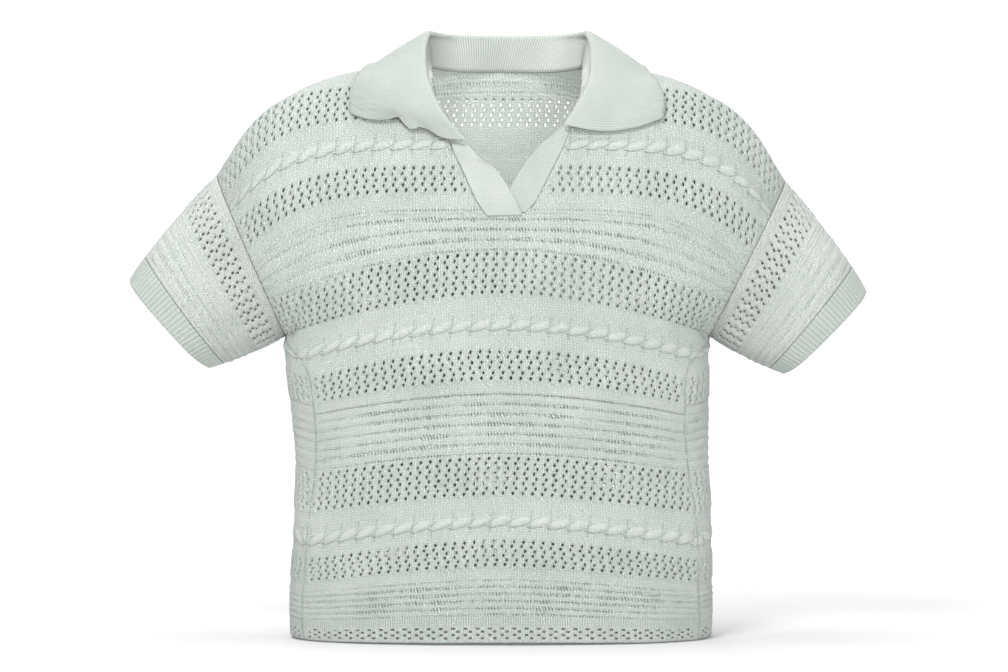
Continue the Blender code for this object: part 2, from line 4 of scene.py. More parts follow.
import bpy
import numpy as np
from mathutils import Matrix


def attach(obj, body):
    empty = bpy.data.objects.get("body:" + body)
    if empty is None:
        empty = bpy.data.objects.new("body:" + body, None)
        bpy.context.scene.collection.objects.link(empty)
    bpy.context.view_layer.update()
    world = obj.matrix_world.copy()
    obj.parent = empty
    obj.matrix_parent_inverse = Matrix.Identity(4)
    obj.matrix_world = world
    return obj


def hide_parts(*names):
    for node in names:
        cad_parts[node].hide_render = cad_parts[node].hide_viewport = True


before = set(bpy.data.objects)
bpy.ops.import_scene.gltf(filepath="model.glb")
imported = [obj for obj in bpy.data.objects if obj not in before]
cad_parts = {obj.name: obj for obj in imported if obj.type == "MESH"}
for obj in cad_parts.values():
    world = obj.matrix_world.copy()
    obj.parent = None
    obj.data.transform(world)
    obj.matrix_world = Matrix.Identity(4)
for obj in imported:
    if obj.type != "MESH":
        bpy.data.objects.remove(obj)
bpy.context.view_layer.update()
print("frame loaded:", ", ".join(sorted(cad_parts)))

mm = 0.001
seed = np.random.default_rng(41)

# The garment's form. Heights are those at the middle of the front.
form = {
    "bodyCentre": 1.0, "neckCentre": 7.0, "squareness": 2.4, "wall": 1.8,
    "hem": -548.6, "slit": -133.0, "underarm": -212.4, "top": 20.0,
    "seamGap": 0.2, "armholeDepth": 52.0, "cuffDepth": 47.0, "bulge": 2.5,
    "linePoints": 181, "normalStep": 1.5,
    # top and underside of the armhole and of the cuff's end, X and Z
    "left": {"sign": -1, "top": (-283, -90), "under": (-213, -250),
             "cuffTop": (-372, -195), "cuffUnder": (-293, -284)},
    "right": {"sign": 1, "top": (285, -96), "under": (208, -250),
              "cuffTop": (368, -206), "cuffUnder": (286, -290)},
    # height, angle round the armhole, droop, end angle
    "yoke": [(-212.4, 180, 1.8, 90), (-198, 155, 1.8, 82), (-170.9, 128, 1.9, 72),
             (-150, 112, 3.0, 65), (-131.2, 99, 4.6, 60), (-111.7, 87, 4.8, 57),
             (-85.3, 69, 4.8, 55), (-66, 58, 5.5, 53), (-40.4, 48, 6.5, 52),
             (-22, 36, 7, 51), (-6.2, 25, 7, 50), (8, 17, 5.2, 50), (17, 9, 4.4, 50),
             (20, 0, 4.25, 50)],
    # height, z at the side seam, half width, seam angle, droop, x halfway between the sides
    "body": [(-548.6, -550.5, 208, 66, 1.6, 1), (-544, -547, 210.5, 66, 1.6, 1),
             (-523.3, -532, 211, 66, 1.6, 1), (-490.2, -505.6, 210.5, 66, 1.6, 1),
             (-450.3, -473.2, 209, 66, 1.6, 2), (-403.7, -423, 207.5, 64, 1.6, 2.5),
             (-368, -386.7, 205.5, 61, 1.7, 2), (-311.8, -332.6, 208, 58, 1.8, 0),
             (-264.5, -293.8, 210.5, 58.5, 1.85, -2), (-247.1, -276.5, 211.5, 62, 1.85, -3),
             (-233.6, -265, 212, 70, 1.8, -3), (-222, -256.5, 211.5, 80, 1.8, -2.5),
             (-212.4, -250, 210.5, 90, 1.8, -2.5)],
    # height, depth of the centre front, depth of the centre back
    "depths": [(-548.6, 92, 87), (-450.3, 97, 91), (-368, 100, 93), (-264.5, 106, 95),
               (-198, 108, 97), (-150, 103.5, 97), (-131.2, 101, 96.5), (-111.7, 100, 96),
               (-85.3, 96, 94.5), (-55.6, 87.5, 91.5), (-22, 70, 87), (-6.2, 58, 83.5),
               (8, 39, 76), (17, 20, 76), (20, 0, 76)],
    # height, half width of the neck opening
    "neck": [(-133, 17), (-124.4, 26), (-105, 36.5), (-85.3, 46.5), (-66, 55), (-40.4, 65),
             (-22, 71), (-6.2, 74.5), (8, 76.5), (20, 78)],
    "backNeck": 8.0, "backLift": -6.2, "backBlend": -131.2, "neckWidth": 78,
    # height, droop, exponent of the way in
    "backYoke": [(-131.2, 4.6, 1), (-85.3, 4.8, 1), (-66, 4.6, 0.95), (-40.4, 3.6, 0.88),
                 (-22, 2.7, 0.8), (-6.2, 2.4, 0.72), (8, 2.1, 0.63), (12.8, 2.6, 0.75),
                 (17.6, 3.7, 0.9), (20, 4.25, 1)],
}


def through(table, column, at):
    # Monotone cubic through a table's column: Hermite arcs whose end slopes are the harmonic
    # means of the slopes on both sides, or flat where those disagree.
    rows = np.array(table, float)
    x, y = rows[:, 0], rows[:, column]
    step = np.diff(x)
    slope = np.diff(y) / step
    same = slope[:-1] * slope[1:] > 0
    mean = 2 * slope[:-1] * slope[1:] / np.where(same, slope[:-1] + slope[1:], 1)
    tangent = np.concatenate([slope[:1], np.where(same, mean, 0), slope[-1:]])
    h = np.clip(at, x[0], x[-1])
    i = np.clip(np.searchsorted(x, h, side="right") - 1, 0, len(step) - 1)
    t = (h - x[i]) / step[i]
    return (y[i] * (1 + 2 * t) * (1 - t) ** 2 + y[i + 1] * t * t * (3 - 2 * t)
            + step[i] * (tangent[i] * t * (1 - t) ** 2 - tangent[i + 1] * t * t * (1 - t)))


def squared(value):
    # Sine or cosine to the power 2 / squareness, with its sign.
    return np.sign(value) * np.abs(value) ** (2 / form["squareness"])


def ramp(value, length):
    # Value / length, held between 0 and 1.
    return np.clip(value / length, 0, 1)


def unit(vectors):
    # Each vector divided by its length.
    return vectors / np.maximum(np.linalg.norm(vectors, axis=-1, keepdims=True), 1e-9)


def lengthsAlong(rows):
    # Length run along each row of points, from 0: the sum of the distances so far.
    steps = np.linalg.norm(np.diff(rows, axis=-2), axis=-1)
    return np.insert(np.cumsum(steps, axis=-1), 0, 0, axis=-1)


def ringPoint(side, angle, along):
    # Slanted ellipse of the sleeve: middle + reach cos(angle), and -depth sin(angle) towards
    # the front; its ends are blended linearly from armhole to cuff.
    size = form[side]
    a = np.asarray(along, float)[..., None]
    top = (1 - a) * np.array(size["top"]) + a * np.array(size["cuffTop"])
    under = (1 - a) * np.array(size["under"]) + a * np.array(size["cuffUnder"])
    depth = (1 - a[..., 0]) * form["armholeDepth"] + a[..., 0] * form["cuffDepth"]
    point = (top + under) / 2 + (top - under) / 2 * np.cos(angle)[..., None]
    return np.stack([point[..., 0], -depth * np.sin(angle), point[..., 1]], axis=-1)


def sleeveAxis(side):
    # Direction along the sleeve: the armhole's rise turned a quarter round in the X-Z plane.
    rise = np.array(form[side]["top"], float) - np.array(form[side]["under"], float)
    return unit(np.array([rise[1], 0, -rise[0]]) * form[side]["sign"])


def backNeckTurn(h):
    # Quarter turn that the back makes over its neck: its share of the height there * 90 degrees.
    share = (h - form["backNeck"]) / (form["top"] - form["backNeck"])
    return np.maximum(0, share) * math.pi / 2


def courses(side, isFront, h):
    # Knitted rows from centre to seam: x = centre + reach * across, y = depth + way in * inward,
    # z = level + drop * along ^ droop, with across and inward from a squared sine and cosine.
    sign = form[side]["sign"]
    yoke = h >= form["underarm"]
    seam = np.radians(through(form["body"], 3, h))
    depths = [through(form["depths"], c, h) for c in (1, 2)]
    turnRound = np.radians(through(form["yoke"], 1, h)) * (1 if isFront else -1)
    armhole = ringPoint(side, turnRound, np.zeros_like(h))
    seamEdge = np.stack([
        through(form["body"], 5, h) + sign * through(form["body"], 2, h) * squared(np.sin(seam)),
        -depths[0] * squared(np.cos(seam)), through(form["body"], 1, h)], axis=-1)
    edge = np.where(yoke[:, None], armhole, seamEdge)
    droop = np.where(yoke, through(form["yoke"], 2, h), through(form["body"], 4, h))
    end = np.where(yoke, np.radians(through(form["yoke"], 3, h)), seam if isFront else math.pi - seam)
    depth, level, roundness = -depths[0], h, np.ones_like(h)
    if not isFront:
        high = h >= form["backBlend"]
        droop = np.where(high, through(form["backYoke"], 1, h), droop)
        roundness = np.where(high, through(form["backYoke"], 2, h), 1)
        rise = ramp(h - form["backLift"], form["backNeck"] - form["backLift"])
        level = np.minimum(form["top"], h + (form["top"] - form["backNeck"]) * rise)
        depth = depths[1] * np.cos(backNeckTurn(h))
    share = np.linspace(0, 1, form["linePoints"])[None, :]
    turn = share * end[:, None]
    across = squared(np.sin(turn)) / squared(np.sin(end))[:, None]
    inward = (1 - squared(np.cos(turn))) / (1 - squared(np.cos(end)))[:, None]
    inward = inward ** roundness[:, None]
    along = across
    if not isFront:
        blend = ramp(form["backBlend"] - h, form["backBlend"] - form["underarm"])
        along = (1 - blend)[:, None] * np.minimum(across, 1) + blend[:, None] * share
    x = form["bodyCentre"] + (edge[:, :1] - form["bodyCentre"]) * across
    y = depth[:, None] + (edge[:, 1:2] - depth[:, None]) * inward
    z = level[:, None] + (edge[:, 2:] - level[:, None]) * along ** droop[:, None]
    return np.stack([x, y, z], axis=-1)


rowApart = 4000.0  # longer than any row, keeps the rows apart when one reading takes them all


def alongRows(at, reach, values):
    # Linear reading of each row's values at the given lengths along it.
    lane = np.arange(len(at))[:, None] * rowApart
    places, known = (at + lane).ravel(), (reach + lane).ravel()
    read = [np.interp(places, known, values[..., i].ravel()) for i in range(values.shape[-1])]
    return np.stack(read, -1).reshape(at.shape + (-1,))


def neckEdge(side, isFront, h):
    # X at which a row begins beside the neck opening.
    sign = form[side]["sign"]
    if isFront:
        return form["neckCentre"] + sign * through(form["neck"], 1, h)
    share = np.sin(backNeckTurn(h))
    centre = form["bodyCentre"] + (form["neckCentre"] - form["bodyCentre"]) * share
    return centre + sign * form["neckWidth"] * share


def halfLines(side, isFront, h):
    # Dense rows of one half, their outward normals from the cross product of the steps along
    # and up, the lengths run along them, and where the neck ends.
    sign, step = form[side]["sign"], form["normalStep"]
    here = courses(side, isFront, h)
    up = courses(side, isFront, np.minimum(h + step, form["top"]))
    down = courses(side, isFront, np.maximum(h - step, form["hem"]))
    normal = unit(np.cross(np.gradient(here, axis=1), up - down) * sign * (1 if isFront else -1))
    # at the armhole the wall stays behind the armhole's plane
    axis = sleeveAxis(side)
    yoke = h > form["underarm"]
    normal[:, -1] -= np.where(yoke, np.minimum(0, normal[:, -1] @ axis), 0)[:, None] * axis
    # front and back share one normal along the side seam
    other = courses(side, not isFront, h)
    front, back = (here, other) if isFront else (other, here)
    over = courses(side, True, np.minimum(h + step, form["underarm"]))[:, -1]
    below = courses(side, True, np.maximum(h - step, form["hem"]))[:, -1]
    shared = np.cross(front[:, -2] - back[:, -2], over - below)
    shared *= (np.sign(shared[:, 0]) * sign)[:, None]
    normal[:, -1] = np.where(yoke[:, None], normal[:, -1], shared)
    normal[h >= form["top"], :, 1] = 0
    normal = unit(normal)
    reach = lengthsAlong(here)
    outward = sign * (here[..., 0] - neckEdge(side, isFront, h)[:, None])
    first = np.argmax(outward >= 0, axis=1)
    row = np.arange(len(h))
    before = np.maximum(first - 1, 0)
    lead = -outward[row, before] / np.maximum(outward[row, first] - outward[row, before], 1e-6)
    begin = reach[row, before] + np.clip(lead, 0, 1) * (reach[row, first] - reach[row, before])
    split = h > (form["slit"] if isFront else form["backNeck"])
    return here, normal, reach, np.where(split & (first > 0), begin, 0)


# the knit's pattern, in mm
knit = {
    "wale": 9.5,            # one eyelet and the strip beside it
    "columnsInWale": 4,
    "plainRow": 2.6,        # mesh rows of plain knit
    # ripple welts: height, unevenness; depth of the dents between them, their spread and how
    # much of it stays flat
    "ridge": 0.65, "ridgeUneven": 0.35, "dash": 0.5, "dashSpread": 1.8, "dashNone": 0.6,
    "gapFrom": 4.5, "noGroove": 20,  # ripple rows that have gaps, and what other rows read
    "strip": 1.2, "stripShade": 0.15,  # how far strips between eyelets stand out, shade beside them
    "zig": 2.6, "lean": 0.1,
    # eyelets: places of their rows in a unit, how far their corners move in, how uneven they
    # are, how wide the end and the middle units' waists are and how much of that counts
    "eyeletRows": (0, 0.24, 0.48, 0.71), "eyeletPinch": (0.36, 0.03, 0.05, 0.38),
    "eyeletUneven": 0.16, "endEyelet": 0.12, "midEyelet": -0.08, "waist": -0.35,
    # the back's lie tighter below the yoke: share left open, full up to 48 mm from the middle
    # and least from 112 mm on
    "backEyelet": 0.4, "backMiddle": (1.6, 80, 0.2),
    # the hem's net: places of its rows, then for each row of holes its two mesh rows, the
    # column in five that opens and how wide
    "netRows": (0, 0.14, 0.5, 0.64),
    "net": [((1, 2), 0, 0.32), ((3, 4), 2, 0.16), ((5, 6), 0, 0.16), ((7, 8), 2, 0.16)],
    # ropes: height, turn, leaves and where they begin beside a seam and over which length
    "rope": 1.45, "ropeTurn": 19.0, "leafLength": 13.5, "leafWidth": 5.0, "leafLean": 0.27,
    "leafRound": 0.8, "ropeFade": (2, 16),
    # plain cloth beside seam and neck, where relief and folds fade out, the painted shade along the
    # seam
    "seamMargin": 4.0, "neckMargin": 5.0, "fade": 3.0, "foldFade": 25, "seamShade": (2.5, 0.2),
    "follow": 0.45,         # how much of the relief the inner face follows
    # kind, low, high, units, mesh rows in a unit, first shift, drift for each unit
    "bands": [("net", -545.0, -532.2, 2, 4, 0, 0),
              ("ripple", -521.6, -486.9, 5, 4, 0, 0),
              ("lace", -475.1, -448.4, 6, 4, 1.8, 0.7),
              ("rope", -438.6, -421.0, 1, 11, 0, 0),
              ("lace", -405.9, -367.8, 8, 4, -3.1, -0.4),
              ("ripple", -365.0, -307.0, 6, 5, 0, 0),
              ("lace", -294.8, -263.9, 6, 4, -2.1, 0.75),
              ("rope", -248.6, -231.4, 1, 11, 0, 0),
              ("lace", -211.7, -169.9, 8, 4, 4.5, -0.3),
              ("ripple", -168.0, -128.5, 4, 5, 0, 0),
              ("lace", -113.0, -86.0, 5, 4, 0, 0.5),
              ("rope", -73.5, -55.5, 1, 11, 0, 0),
              ("lace", -40.4, -5.4, 7, 4, 1.5, -0.4)],
    # the back's last bands, which show through the neck
    "backTop": [("lace", -124.0, -102.5, 4, 4, 0, 0.5), ("rope", -73.5, -55.5, 1, 11, 0, 0),
                ("lace", -36.5, -6.5, 6, 4, 1.5, -0.4), ("ripple", -3.5, 7.0, 2, 5, 0, 0)],
}


def knitRows(bands, low, high, extra):
    # Heights of the mesh rows with the band of each and its place there, counted from the top.
    rows = {round(low, 2): (-1, 0), round(high, 2): (-1, 0)}
    edge = low
    closing = ("end", high, high, 0, 1, 0, 0)
    for number, (kind, bottom, top, units, per, _, _) in enumerate([*bands, closing]):
        steps = max(1, math.ceil((bottom - edge) / knit["plainRow"] - 1e-6))
        for h in np.linspace(edge, bottom, steps + 1):
            rows.setdefault(round(float(h), 2), (-1, 0))
        parts = {"lace": knit["eyeletRows"], "net": knit["netRows"]}.get(kind, np.arange(per) / per)
        for i in range(units * per + 1 if units else 0):
            rows[round(top - (top - bottom) * (i // per + parts[i % per]) / units, 2)] = (number, i)
        edge = top
    for h in extra:
        rows.setdefault(round(h, 2), (-1, 0))
    heights = np.array(sorted(rows))
    found = np.array([rows[h] for h in heights.tolist()])
    return heights, found[:, 0], found[:, 1]


def bandColumn(bands, band, column):
    # One column of the bands' table for each row; rows between bands read 0.
    return np.array([row[column] for row in bands] + [0])[band]


def eyeletSides(column):
    # 1 at an eyelet's left corners, -1 at its right ones, 0 elsewhere.
    beat = column % knit["columnsInWale"]
    return np.where(beat == 0, 1, 0) - np.where(beat == 1, 1, 0)


def laceShift(bands, heights, band, place):
    # Sideways shift of a row: the first shift, the drift of its unit, a zig on every second
    # unit and a lean inside it; between bands it runs back to nothing.
    kinds = bandColumn(bands, band, 0)
    per = np.maximum(bandColumn(bands, band, 4), 1)
    count = place // per
    lean = ((place % per) - 1.5) * knit["lean"]
    shift = bandColumn(bands, band, 5) + bandColumn(bands, band, 6) * count
    shift = shift - np.where(count % 2 == 1, knit["zig"], 0) - lean
    lace = kinds == "lace"
    calm = ~lace & np.isin(kinds, ["ripple", "rope", "net"])
    known = lace | calm
    known[[0, -1]] = True
    return np.interp(heights, heights[known], np.where(lace, shift, 0)[known])


def eyelets(bands, band, place, columns):
    # Cells left open: every fourth column and three rows of four in lace, a cell in five in
    # the net. The pull rounds each one: its corners move in, its waist out, unevenly by seed.
    kinds = bandColumn(bands, band, 0)
    per = np.maximum(bandColumn(bands, band, 4), 1)
    count, part = place // per, place % per
    column = np.arange(columns) - columns // 2
    wave = knit["columnsInWale"]
    uneven = seed.normal(1.0, knit["eyeletUneven"], (200, columns // wave + 2))
    size = uneven[(count + 11 * band) % 200][:, (np.arange(columns) // wave)]
    units = bandColumn(bands, band, 3)
    lace = (kinds == "lace") & (count < units)
    pinch = np.array(knit["eyeletPinch"])[part % 4]
    side = eyeletSides(column)
    pull = np.where(lace[:, None], pinch[:, None] * side[None, :] * size, 0)
    wide = np.where((count == 0) | (count == units - 1), knit["endEyelet"], knit["midEyelet"])
    pull += np.where(lace[:, None], (size - 1 + wide[:, None]) * knit["waist"] * side[None, :], 0)
    # a cell lies below its upper row
    holes = (lace & (part < 3))[1:, None] & (column % wave == 0)[None, :-1]
    # the hem's net opens a cell in five, wider in its first row
    five = column % 5
    net = kinds == "net"
    for corners, at, wide in knit["net"]:
        across = np.where(five == at + 1, wide, 0) - np.where(five == at, wide, 0)
        pull += np.where((net & np.isin(place, corners))[:, None], across[None, :], 0)
        holes |= (net & (place == corners[0]))[1:, None] & (five == at)[None, :-1]
    return holes, pull * knit["wale"] / wave


def ropeRelief(s, v):
    # Leaves of a twisted rope: each is a half ellipsoid that leans up to the right, and the
    # highest of the neighbouring ones wins, which leaves a crease between them.
    best = np.zeros_like(s)
    for step in (-1, 0, 1):
        u = ((s / knit["ropeTurn"] + 0.5) % 1 - 0.5 - step) * knit["ropeTurn"]
        lean = v - knit["leafLean"] * u
        dome = 1 - (u / knit["leafLength"]) ** 2 - (lean / knit["leafWidth"]) ** 2
        best = np.maximum(best, np.maximum(dome, 0) ** knit["leafRound"])
    return best


def relief(bands, band, place, s):
    # How far each point stands out from the plain knit, how deep in shade it lies, and for
    # the material its distance from the nearest groove.
    kinds = bandColumn(bands, band, 0)
    per = np.maximum(bandColumn(bands, band, 4), 1)
    units = bandColumn(bands, band, 3)
    rowSpan = bandColumn(bands, band, 2) - bandColumn(bands, band, 1)
    t = place / per
    out = np.zeros_like(s)
    paintedShade = np.zeros_like(s)
    ripple = (kinds == "ripple")[:, None]
    welt = np.sin(np.pi * t)[:, None] ** 2
    noise = seed.normal(0, 1, s.shape)
    slow = (noise + np.roll(noise, 1, 1) + np.roll(noise, 2, 1) + np.roll(noise, 3, 1)) / 2
    valley = ripple & (place % per == 0)[:, None]
    dash = np.clip(seed.random(s.shape) * knit["dashSpread"] - knit["dashNone"], 0, 1)
    out += np.where(ripple, welt * knit["ridge"] * (1 + knit["ridgeUneven"] * slow), 0)
    out -= np.where(valley, dash * knit["dash"], 0)
    part = t - np.floor(t)
    spacing = rowSpan / np.maximum(units, 1)
    parted = (kinds == "ripple") & (spacing > knit["gapFrom"])
    groove = np.where(parted, np.minimum(part, 1 - part) * spacing, knit["noGroove"])
    lace = (kinds == "lace")[:, None]
    strip = 0.5 - 0.5 * np.cos(2 * np.pi * ((np.arange(s.shape[1]) - s.shape[1] // 2 - 0.5)
                                            / knit["columnsInWale"]))
    out += np.where(lace, knit["strip"] * strip[None, :], 0)
    # painted shade in the hollows beside the raised strips between eyelets
    paintedShade += np.where(lace, knit["stripShade"] * (1 - strip[None, :]), 0)
    rope = (kinds == "rope")[:, None]
    across = ((0.5 - place / np.maximum(per * units, 1)) * rowSpan)[:, None]
    leaf = ropeRelief(s, across + 0 * s)
    out += np.where(rope, knit["rope"] * leaf, 0)
    return out, np.stack([np.clip(paintedShade, 0, 1), groove[:, None] + 0 * s], axis=-1)


def intoScene(name, data):
    # A new object with this mesh, lamp or camera, linked to the scene.
    made = bpy.data.objects.new(name, data)
    bpy.context.scene.collection.objects.link(made)
    return made


def meshPiece(name, points, faces, uv, marks, material):
    # Faces with a repeated corner become triangles or go; unused points are left out.
    keep = faces != np.roll(faces, -1, axis=1)
    whole = keep.sum(1) > 2
    faces, keep = faces[whole], keep[whole]
    loops = faces[keep]
    counts = keep.sum(1)
    used, loops = np.unique(loops, return_inverse=True)
    mesh = bpy.data.meshes.new(name)
    mesh.vertices.add(len(used))
    mesh.vertices.foreach_set("co", (points[used] * mm).astype(np.float32).ravel())
    mesh.loops.add(len(loops))
    mesh.loops.foreach_set("vertex_index", loops.astype(np.int32).ravel())
    mesh.polygons.add(len(faces))
    mesh.polygons.foreach_set("loop_start", (np.cumsum(counts) - counts).astype(np.int32))
    mesh.polygons.foreach_set("use_smooth", np.ones(len(faces), bool))
    layer = mesh.uv_layers.new(name="knit")
    layer.data.foreach_set("uv", uv[used][loops].astype(np.float32).ravel())
    for i, attribute in enumerate(("shade", "inside", "groove")[:marks.shape[1]]):
        layer = mesh.attributes.new(attribute, "FLOAT", "POINT")
        layer.data.foreach_set("value", marks[used, i].astype(np.float32))
    mesh.update(calc_edges=True)
    mesh.validate()
    mesh.materials.append(material)
    print("made", name, "with", int((counts - 2).sum()), "triangles")
    return intoScene(name, mesh)


def wallPiece(name, outer, inner, index, kept, uv, marks, material):
    # Outer and inner grids as one closed wall, with a rim along every side of a kept cell
    # that has no kept neighbour. index gives the point that stands for each grid place; faces
    # turn outwards by the sign of across x up times the wall's depth.
    rows, columns = index.shape
    total = outer.shape[0] * outer.shape[1]
    a, b, c, d = index[:-1, :-1], index[:-1, 1:], index[1:, 1:], index[1:, :-1]
    kept = kept & ~((a == b) & (c == d))
    across = outer[:-1, 1:] - outer[:-1, :-1]
    rise = outer[1:, :-1] - outer[:-1, :-1]
    deep = (outer - inner)[:-1, :-1]
    turned = (np.cross(across, rise) * deep)[kept].sum() < 0
    cells = np.stack([a, b, c, d], axis=-1)[kept]
    pad = np.zeros((rows + 1, columns + 1), bool)
    pad[1:-1, 1:-1] = kept
    rims = []
    for start, end, neighbour in ((a, b, pad[:-2, 1:-1]), (b, c, pad[1:-1, 2:]),
                                  (c, d, pad[2:, 1:-1]), (d, a, pad[1:-1, :-2])):
        bare = kept & ~neighbour & (start != end)
        rims.append(np.stack([end[bare], start[bare], start[bare] + total, end[bare] + total], axis=-1))
    faces = np.concatenate([cells, cells[:, ::-1] + total] + rims)
    if turned:
        faces = faces[:, ::-1]
    points = np.concatenate([outer.reshape(-1, 3), inner.reshape(-1, 3)])
    marks = np.insert(marks.reshape(total, -1), 1, 0, axis=1)
    # the inner face has half the shade and is marked as inside
    within = marks * np.array([0.5, 1, 1])[:marks.shape[1]]
    within[:, 1] = 1
    return meshPiece(name, points, faces, np.tile(uv.reshape(-1, 2), (2, 1)),
                     np.concatenate([marks, within]), material)


def plainIndex(shape):
    # Numbers of a grid's points where none is shared: row * columns + column.
    return np.arange(shape[0] * shape[1]).reshape(shape[:2])


folds = {
    # soft troughs and swells: s along the row, height, half length, half width, lean in
    # degrees, how far out
    "front": [(-150, -262, 60, 11, 38, -2.6), (160, -268, 60, 12, -36, -2.4),
              (-120, -300, 70, 16, 20, 1.6), (110, -330, 80, 18, -12, 1.4),
              (-175, -430, 60, 16, 70, -1.8), (180, -470, 70, 18, -75, -1.6),
              (-60, -520, 60, 14, 82, 1.5), (55, -505, 70, 16, 96, -1.5),
              (140, -520, 50, 15, 84, 1.7), (-190, -120, 60, 12, 55, -1.6),
              (190, -130, 60, 12, -52, -1.8), (0, -190, 90, 22, 4, 1.2),
              (-222, -200, 44, 8, 50, -3.6), (-210, -176, 44, 9, 44, 1.8),
              (222, -204, 44, 8, -48, -3.4), (208, -180, 44, 9, -42, 1.6)],
    "back": [(-150, -270, 70, 12, 40, -2.8), (150, -264, 70, 12, -42, -2.6),
             (-60, -330, 90, 18, 14, 1.6), (70, -300, 80, 18, -18, -1.6),
             (-120, -470, 70, 17, 78, -1.8), (20, -500, 80, 16, 88, 1.8),
             (130, -490, 70, 17, 98, -1.7), (-180, -110, 60, 13, 50, -1.7),
             (185, -120, 60, 13, -50, -1.8), (0, -80, 80, 20, 3, 1.4),
             (-216, -200, 44, 9, 46, -3.2), (218, -198, 44, 9, -48, -3.4)],
}


def softFolds(name, s, h):
    # Sum of long soft bumps: height * exp(-(along / length)^2 - (across / width)^2).
    total = np.zeros_like(s)
    for centre, level, length, width, lean, depth in folds[name]:
        turn = math.radians(lean)
        along = (s - centre) * math.cos(turn) + (h - level) * math.sin(turn)
        across = (h - level) * math.cos(turn) - (s - centre) * math.sin(turn)
        total += depth * np.exp(-(along / length) ** 2 - (across / width) ** 2)
    return total


def panelGrid(name, isFront):
    # A panel as a grid: columns keep their distance along the knitted row from the centre,
    # so eyelets crowd together where the cloth turns away, as real wales do.
    extra = [form["slit"], 14.0, 17.0] if isFront else [10.4, 12.8, 15.2, 17.6]
    bands = knit["bands"] if isFront else knit["bands"][:-3] + knit["backTop"]
    h, band, place = knitRows(bands, form["hem"], form["top"], extra)
    kinds = bandColumn(bands, band, 0)
    left = halfLines("left", isFront, h)
    right = halfLines("right", isFront, h)
    line = np.concatenate([left[0][:, ::-1], right[0][:, 1:]], axis=1)
    normals = np.concatenate([left[1][:, ::-1], right[1][:, 1:]], axis=1)
    reach = np.concatenate([-left[2][:, ::-1], right[2][:, 1:]], axis=1)
    low, high = reach[:, 0] + form["seamGap"], reach[:, -1] - form["seamGap"]
    neckLow, neckHigh = -left[3], right[3]
    pitch = knit["wale"] / knit["columnsInWale"]
    half = int(max(-reach[:, 0].min(), reach[:, -1].max()) / pitch) + 4
    half += half % 2
    column = np.arange(-half, half + 1)
    opened, pull = eyelets(bands, band, place, len(column))
    if not isFront:
        full, length, least = knit["backMiddle"]
        tight = 0.5 * pitch * (1 - knit["backEyelet"]) * (h < form["backBlend"])
        centre = np.clip(full - np.abs(column) * pitch / length, least, 1)
        pull += np.where((kinds == "lace")[:, None], tight[:, None] * (eyeletSides(column) * centre), 0)
    shift = laceShift(bands, h, band, place)
    s = column[None, :] * pitch + shift[:, None] + pull
    # places past an edge stand on it, and the points there become one
    first = np.floor((low - shift) / pitch)[:, None]
    last = np.ceil((high - shift) / pitch)[:, None]
    split = (h > (form["slit"] if isFront else form["backNeck"]))[:, None]
    middle = 2
    neckFrom = np.ceil((neckLow - shift) / pitch)[:, None]
    neckTo = np.floor((neckHigh - shift) / pitch)[:, None]
    isLeft = (column <= middle)[None, :]
    index = np.clip(column[None, :], first, last)
    upToNeck = np.minimum(index, np.minimum(neckFrom, middle))
    fromNeck = np.maximum(index, np.maximum(neckTo, middle + 1))
    index = np.where(split, np.where(isLeft, upToNeck, fromNeck), index)
    index = (index + half).astype(int)
    s = np.take_along_axis(s, index, axis=1)
    s = np.clip(s, low[:, None], high[:, None])
    s = np.where(split & isLeft, np.minimum(s, neckLow[:, None]), s)
    s = np.where(split & ~isLeft, np.maximum(s, neckHigh[:, None]), s)
    base = alongRows(s, reach, line)
    normal = unit(alongRows(s, reach, normals))
    # distance to the nearest seam and to the neck
    toSeam = np.minimum(s - low[:, None], high[:, None] - s)
    toNeck = np.where(split, np.where(isLeft, neckLow[:, None] - s, s - neckHigh[:, None]), 99)
    toNeck = np.minimum(toNeck, 99)
    toTop = (form["top"] - h)[:, None] + 0 * s
    toEdge = np.minimum(toSeam, np.minimum(toNeck, toTop))
    fade = ramp(toEdge, knit["fade"])
    out, marks = relief(bands, band, place, s)
    folded = softFolds(name, s, h[:, None] + 0 * s)
    calm = ramp(toEdge, knit["foldFade"])
    begin, length = knit["ropeFade"]
    out = out * fade * np.where((kinds == "rope")[:, None], ramp(toSeam - begin, length), 1)
    outer = base + normal * (out + folded * calm)[..., None]
    inner = base + normal * (knit["follow"] * out + folded * calm - form["wall"])[..., None]
    for face in (outer, inner):
        face[-1, :, 1] += form["seamGap"] * (-1 if isFront else 1)
    near = (toSeam[:-1, :-1] > knit["seamMargin"]) & (toSeam[1:, 1:] > knit["seamMargin"])
    near &= (toNeck[:-1, :-1] > knit["neckMargin"]) & (toNeck[1:, 1:] > knit["neckMargin"])
    kept = ~(opened & near)
    kept[:, middle + half] &= ~split[:-1, 0]
    uv = np.stack([s, h[:, None] + 0 * s], axis=-1)
    # painted shade along the seams; the other painted shade fades out near every edge
    wide, dark = knit["seamShade"]
    marks[..., 0] = np.maximum(marks[..., 0] * fade, (1 - ramp(toSeam, wide)) * dark)
    return h, outer, inner, index, kept, uv, marks


def makePanel(name, isFront, cutHeight, material):
    # The panel's grid, cut level at one height, each part a closed wall.
    h, outer, inner, index, kept, uv, marks = panelGrid(name, isFront)
    columns = index.shape[1]
    pieces = []
    for part, low, high in (("lower", form["hem"], cutHeight), ("upper", cutHeight, form["top"])):
        rows = np.where((h >= low - 0.01) & (h <= high + 0.01))[0]
        r = slice(rows[0], rows[-1] + 1)
        numbers = index[r] + np.arange(len(rows))[:, None] * columns
        pieces.append(wallPiece(name + "_" + part, outer[r], inner[r], numbers,
                                kept[rows[0]:rows[-1]], uv[r], marks[r], material))
    return pieces


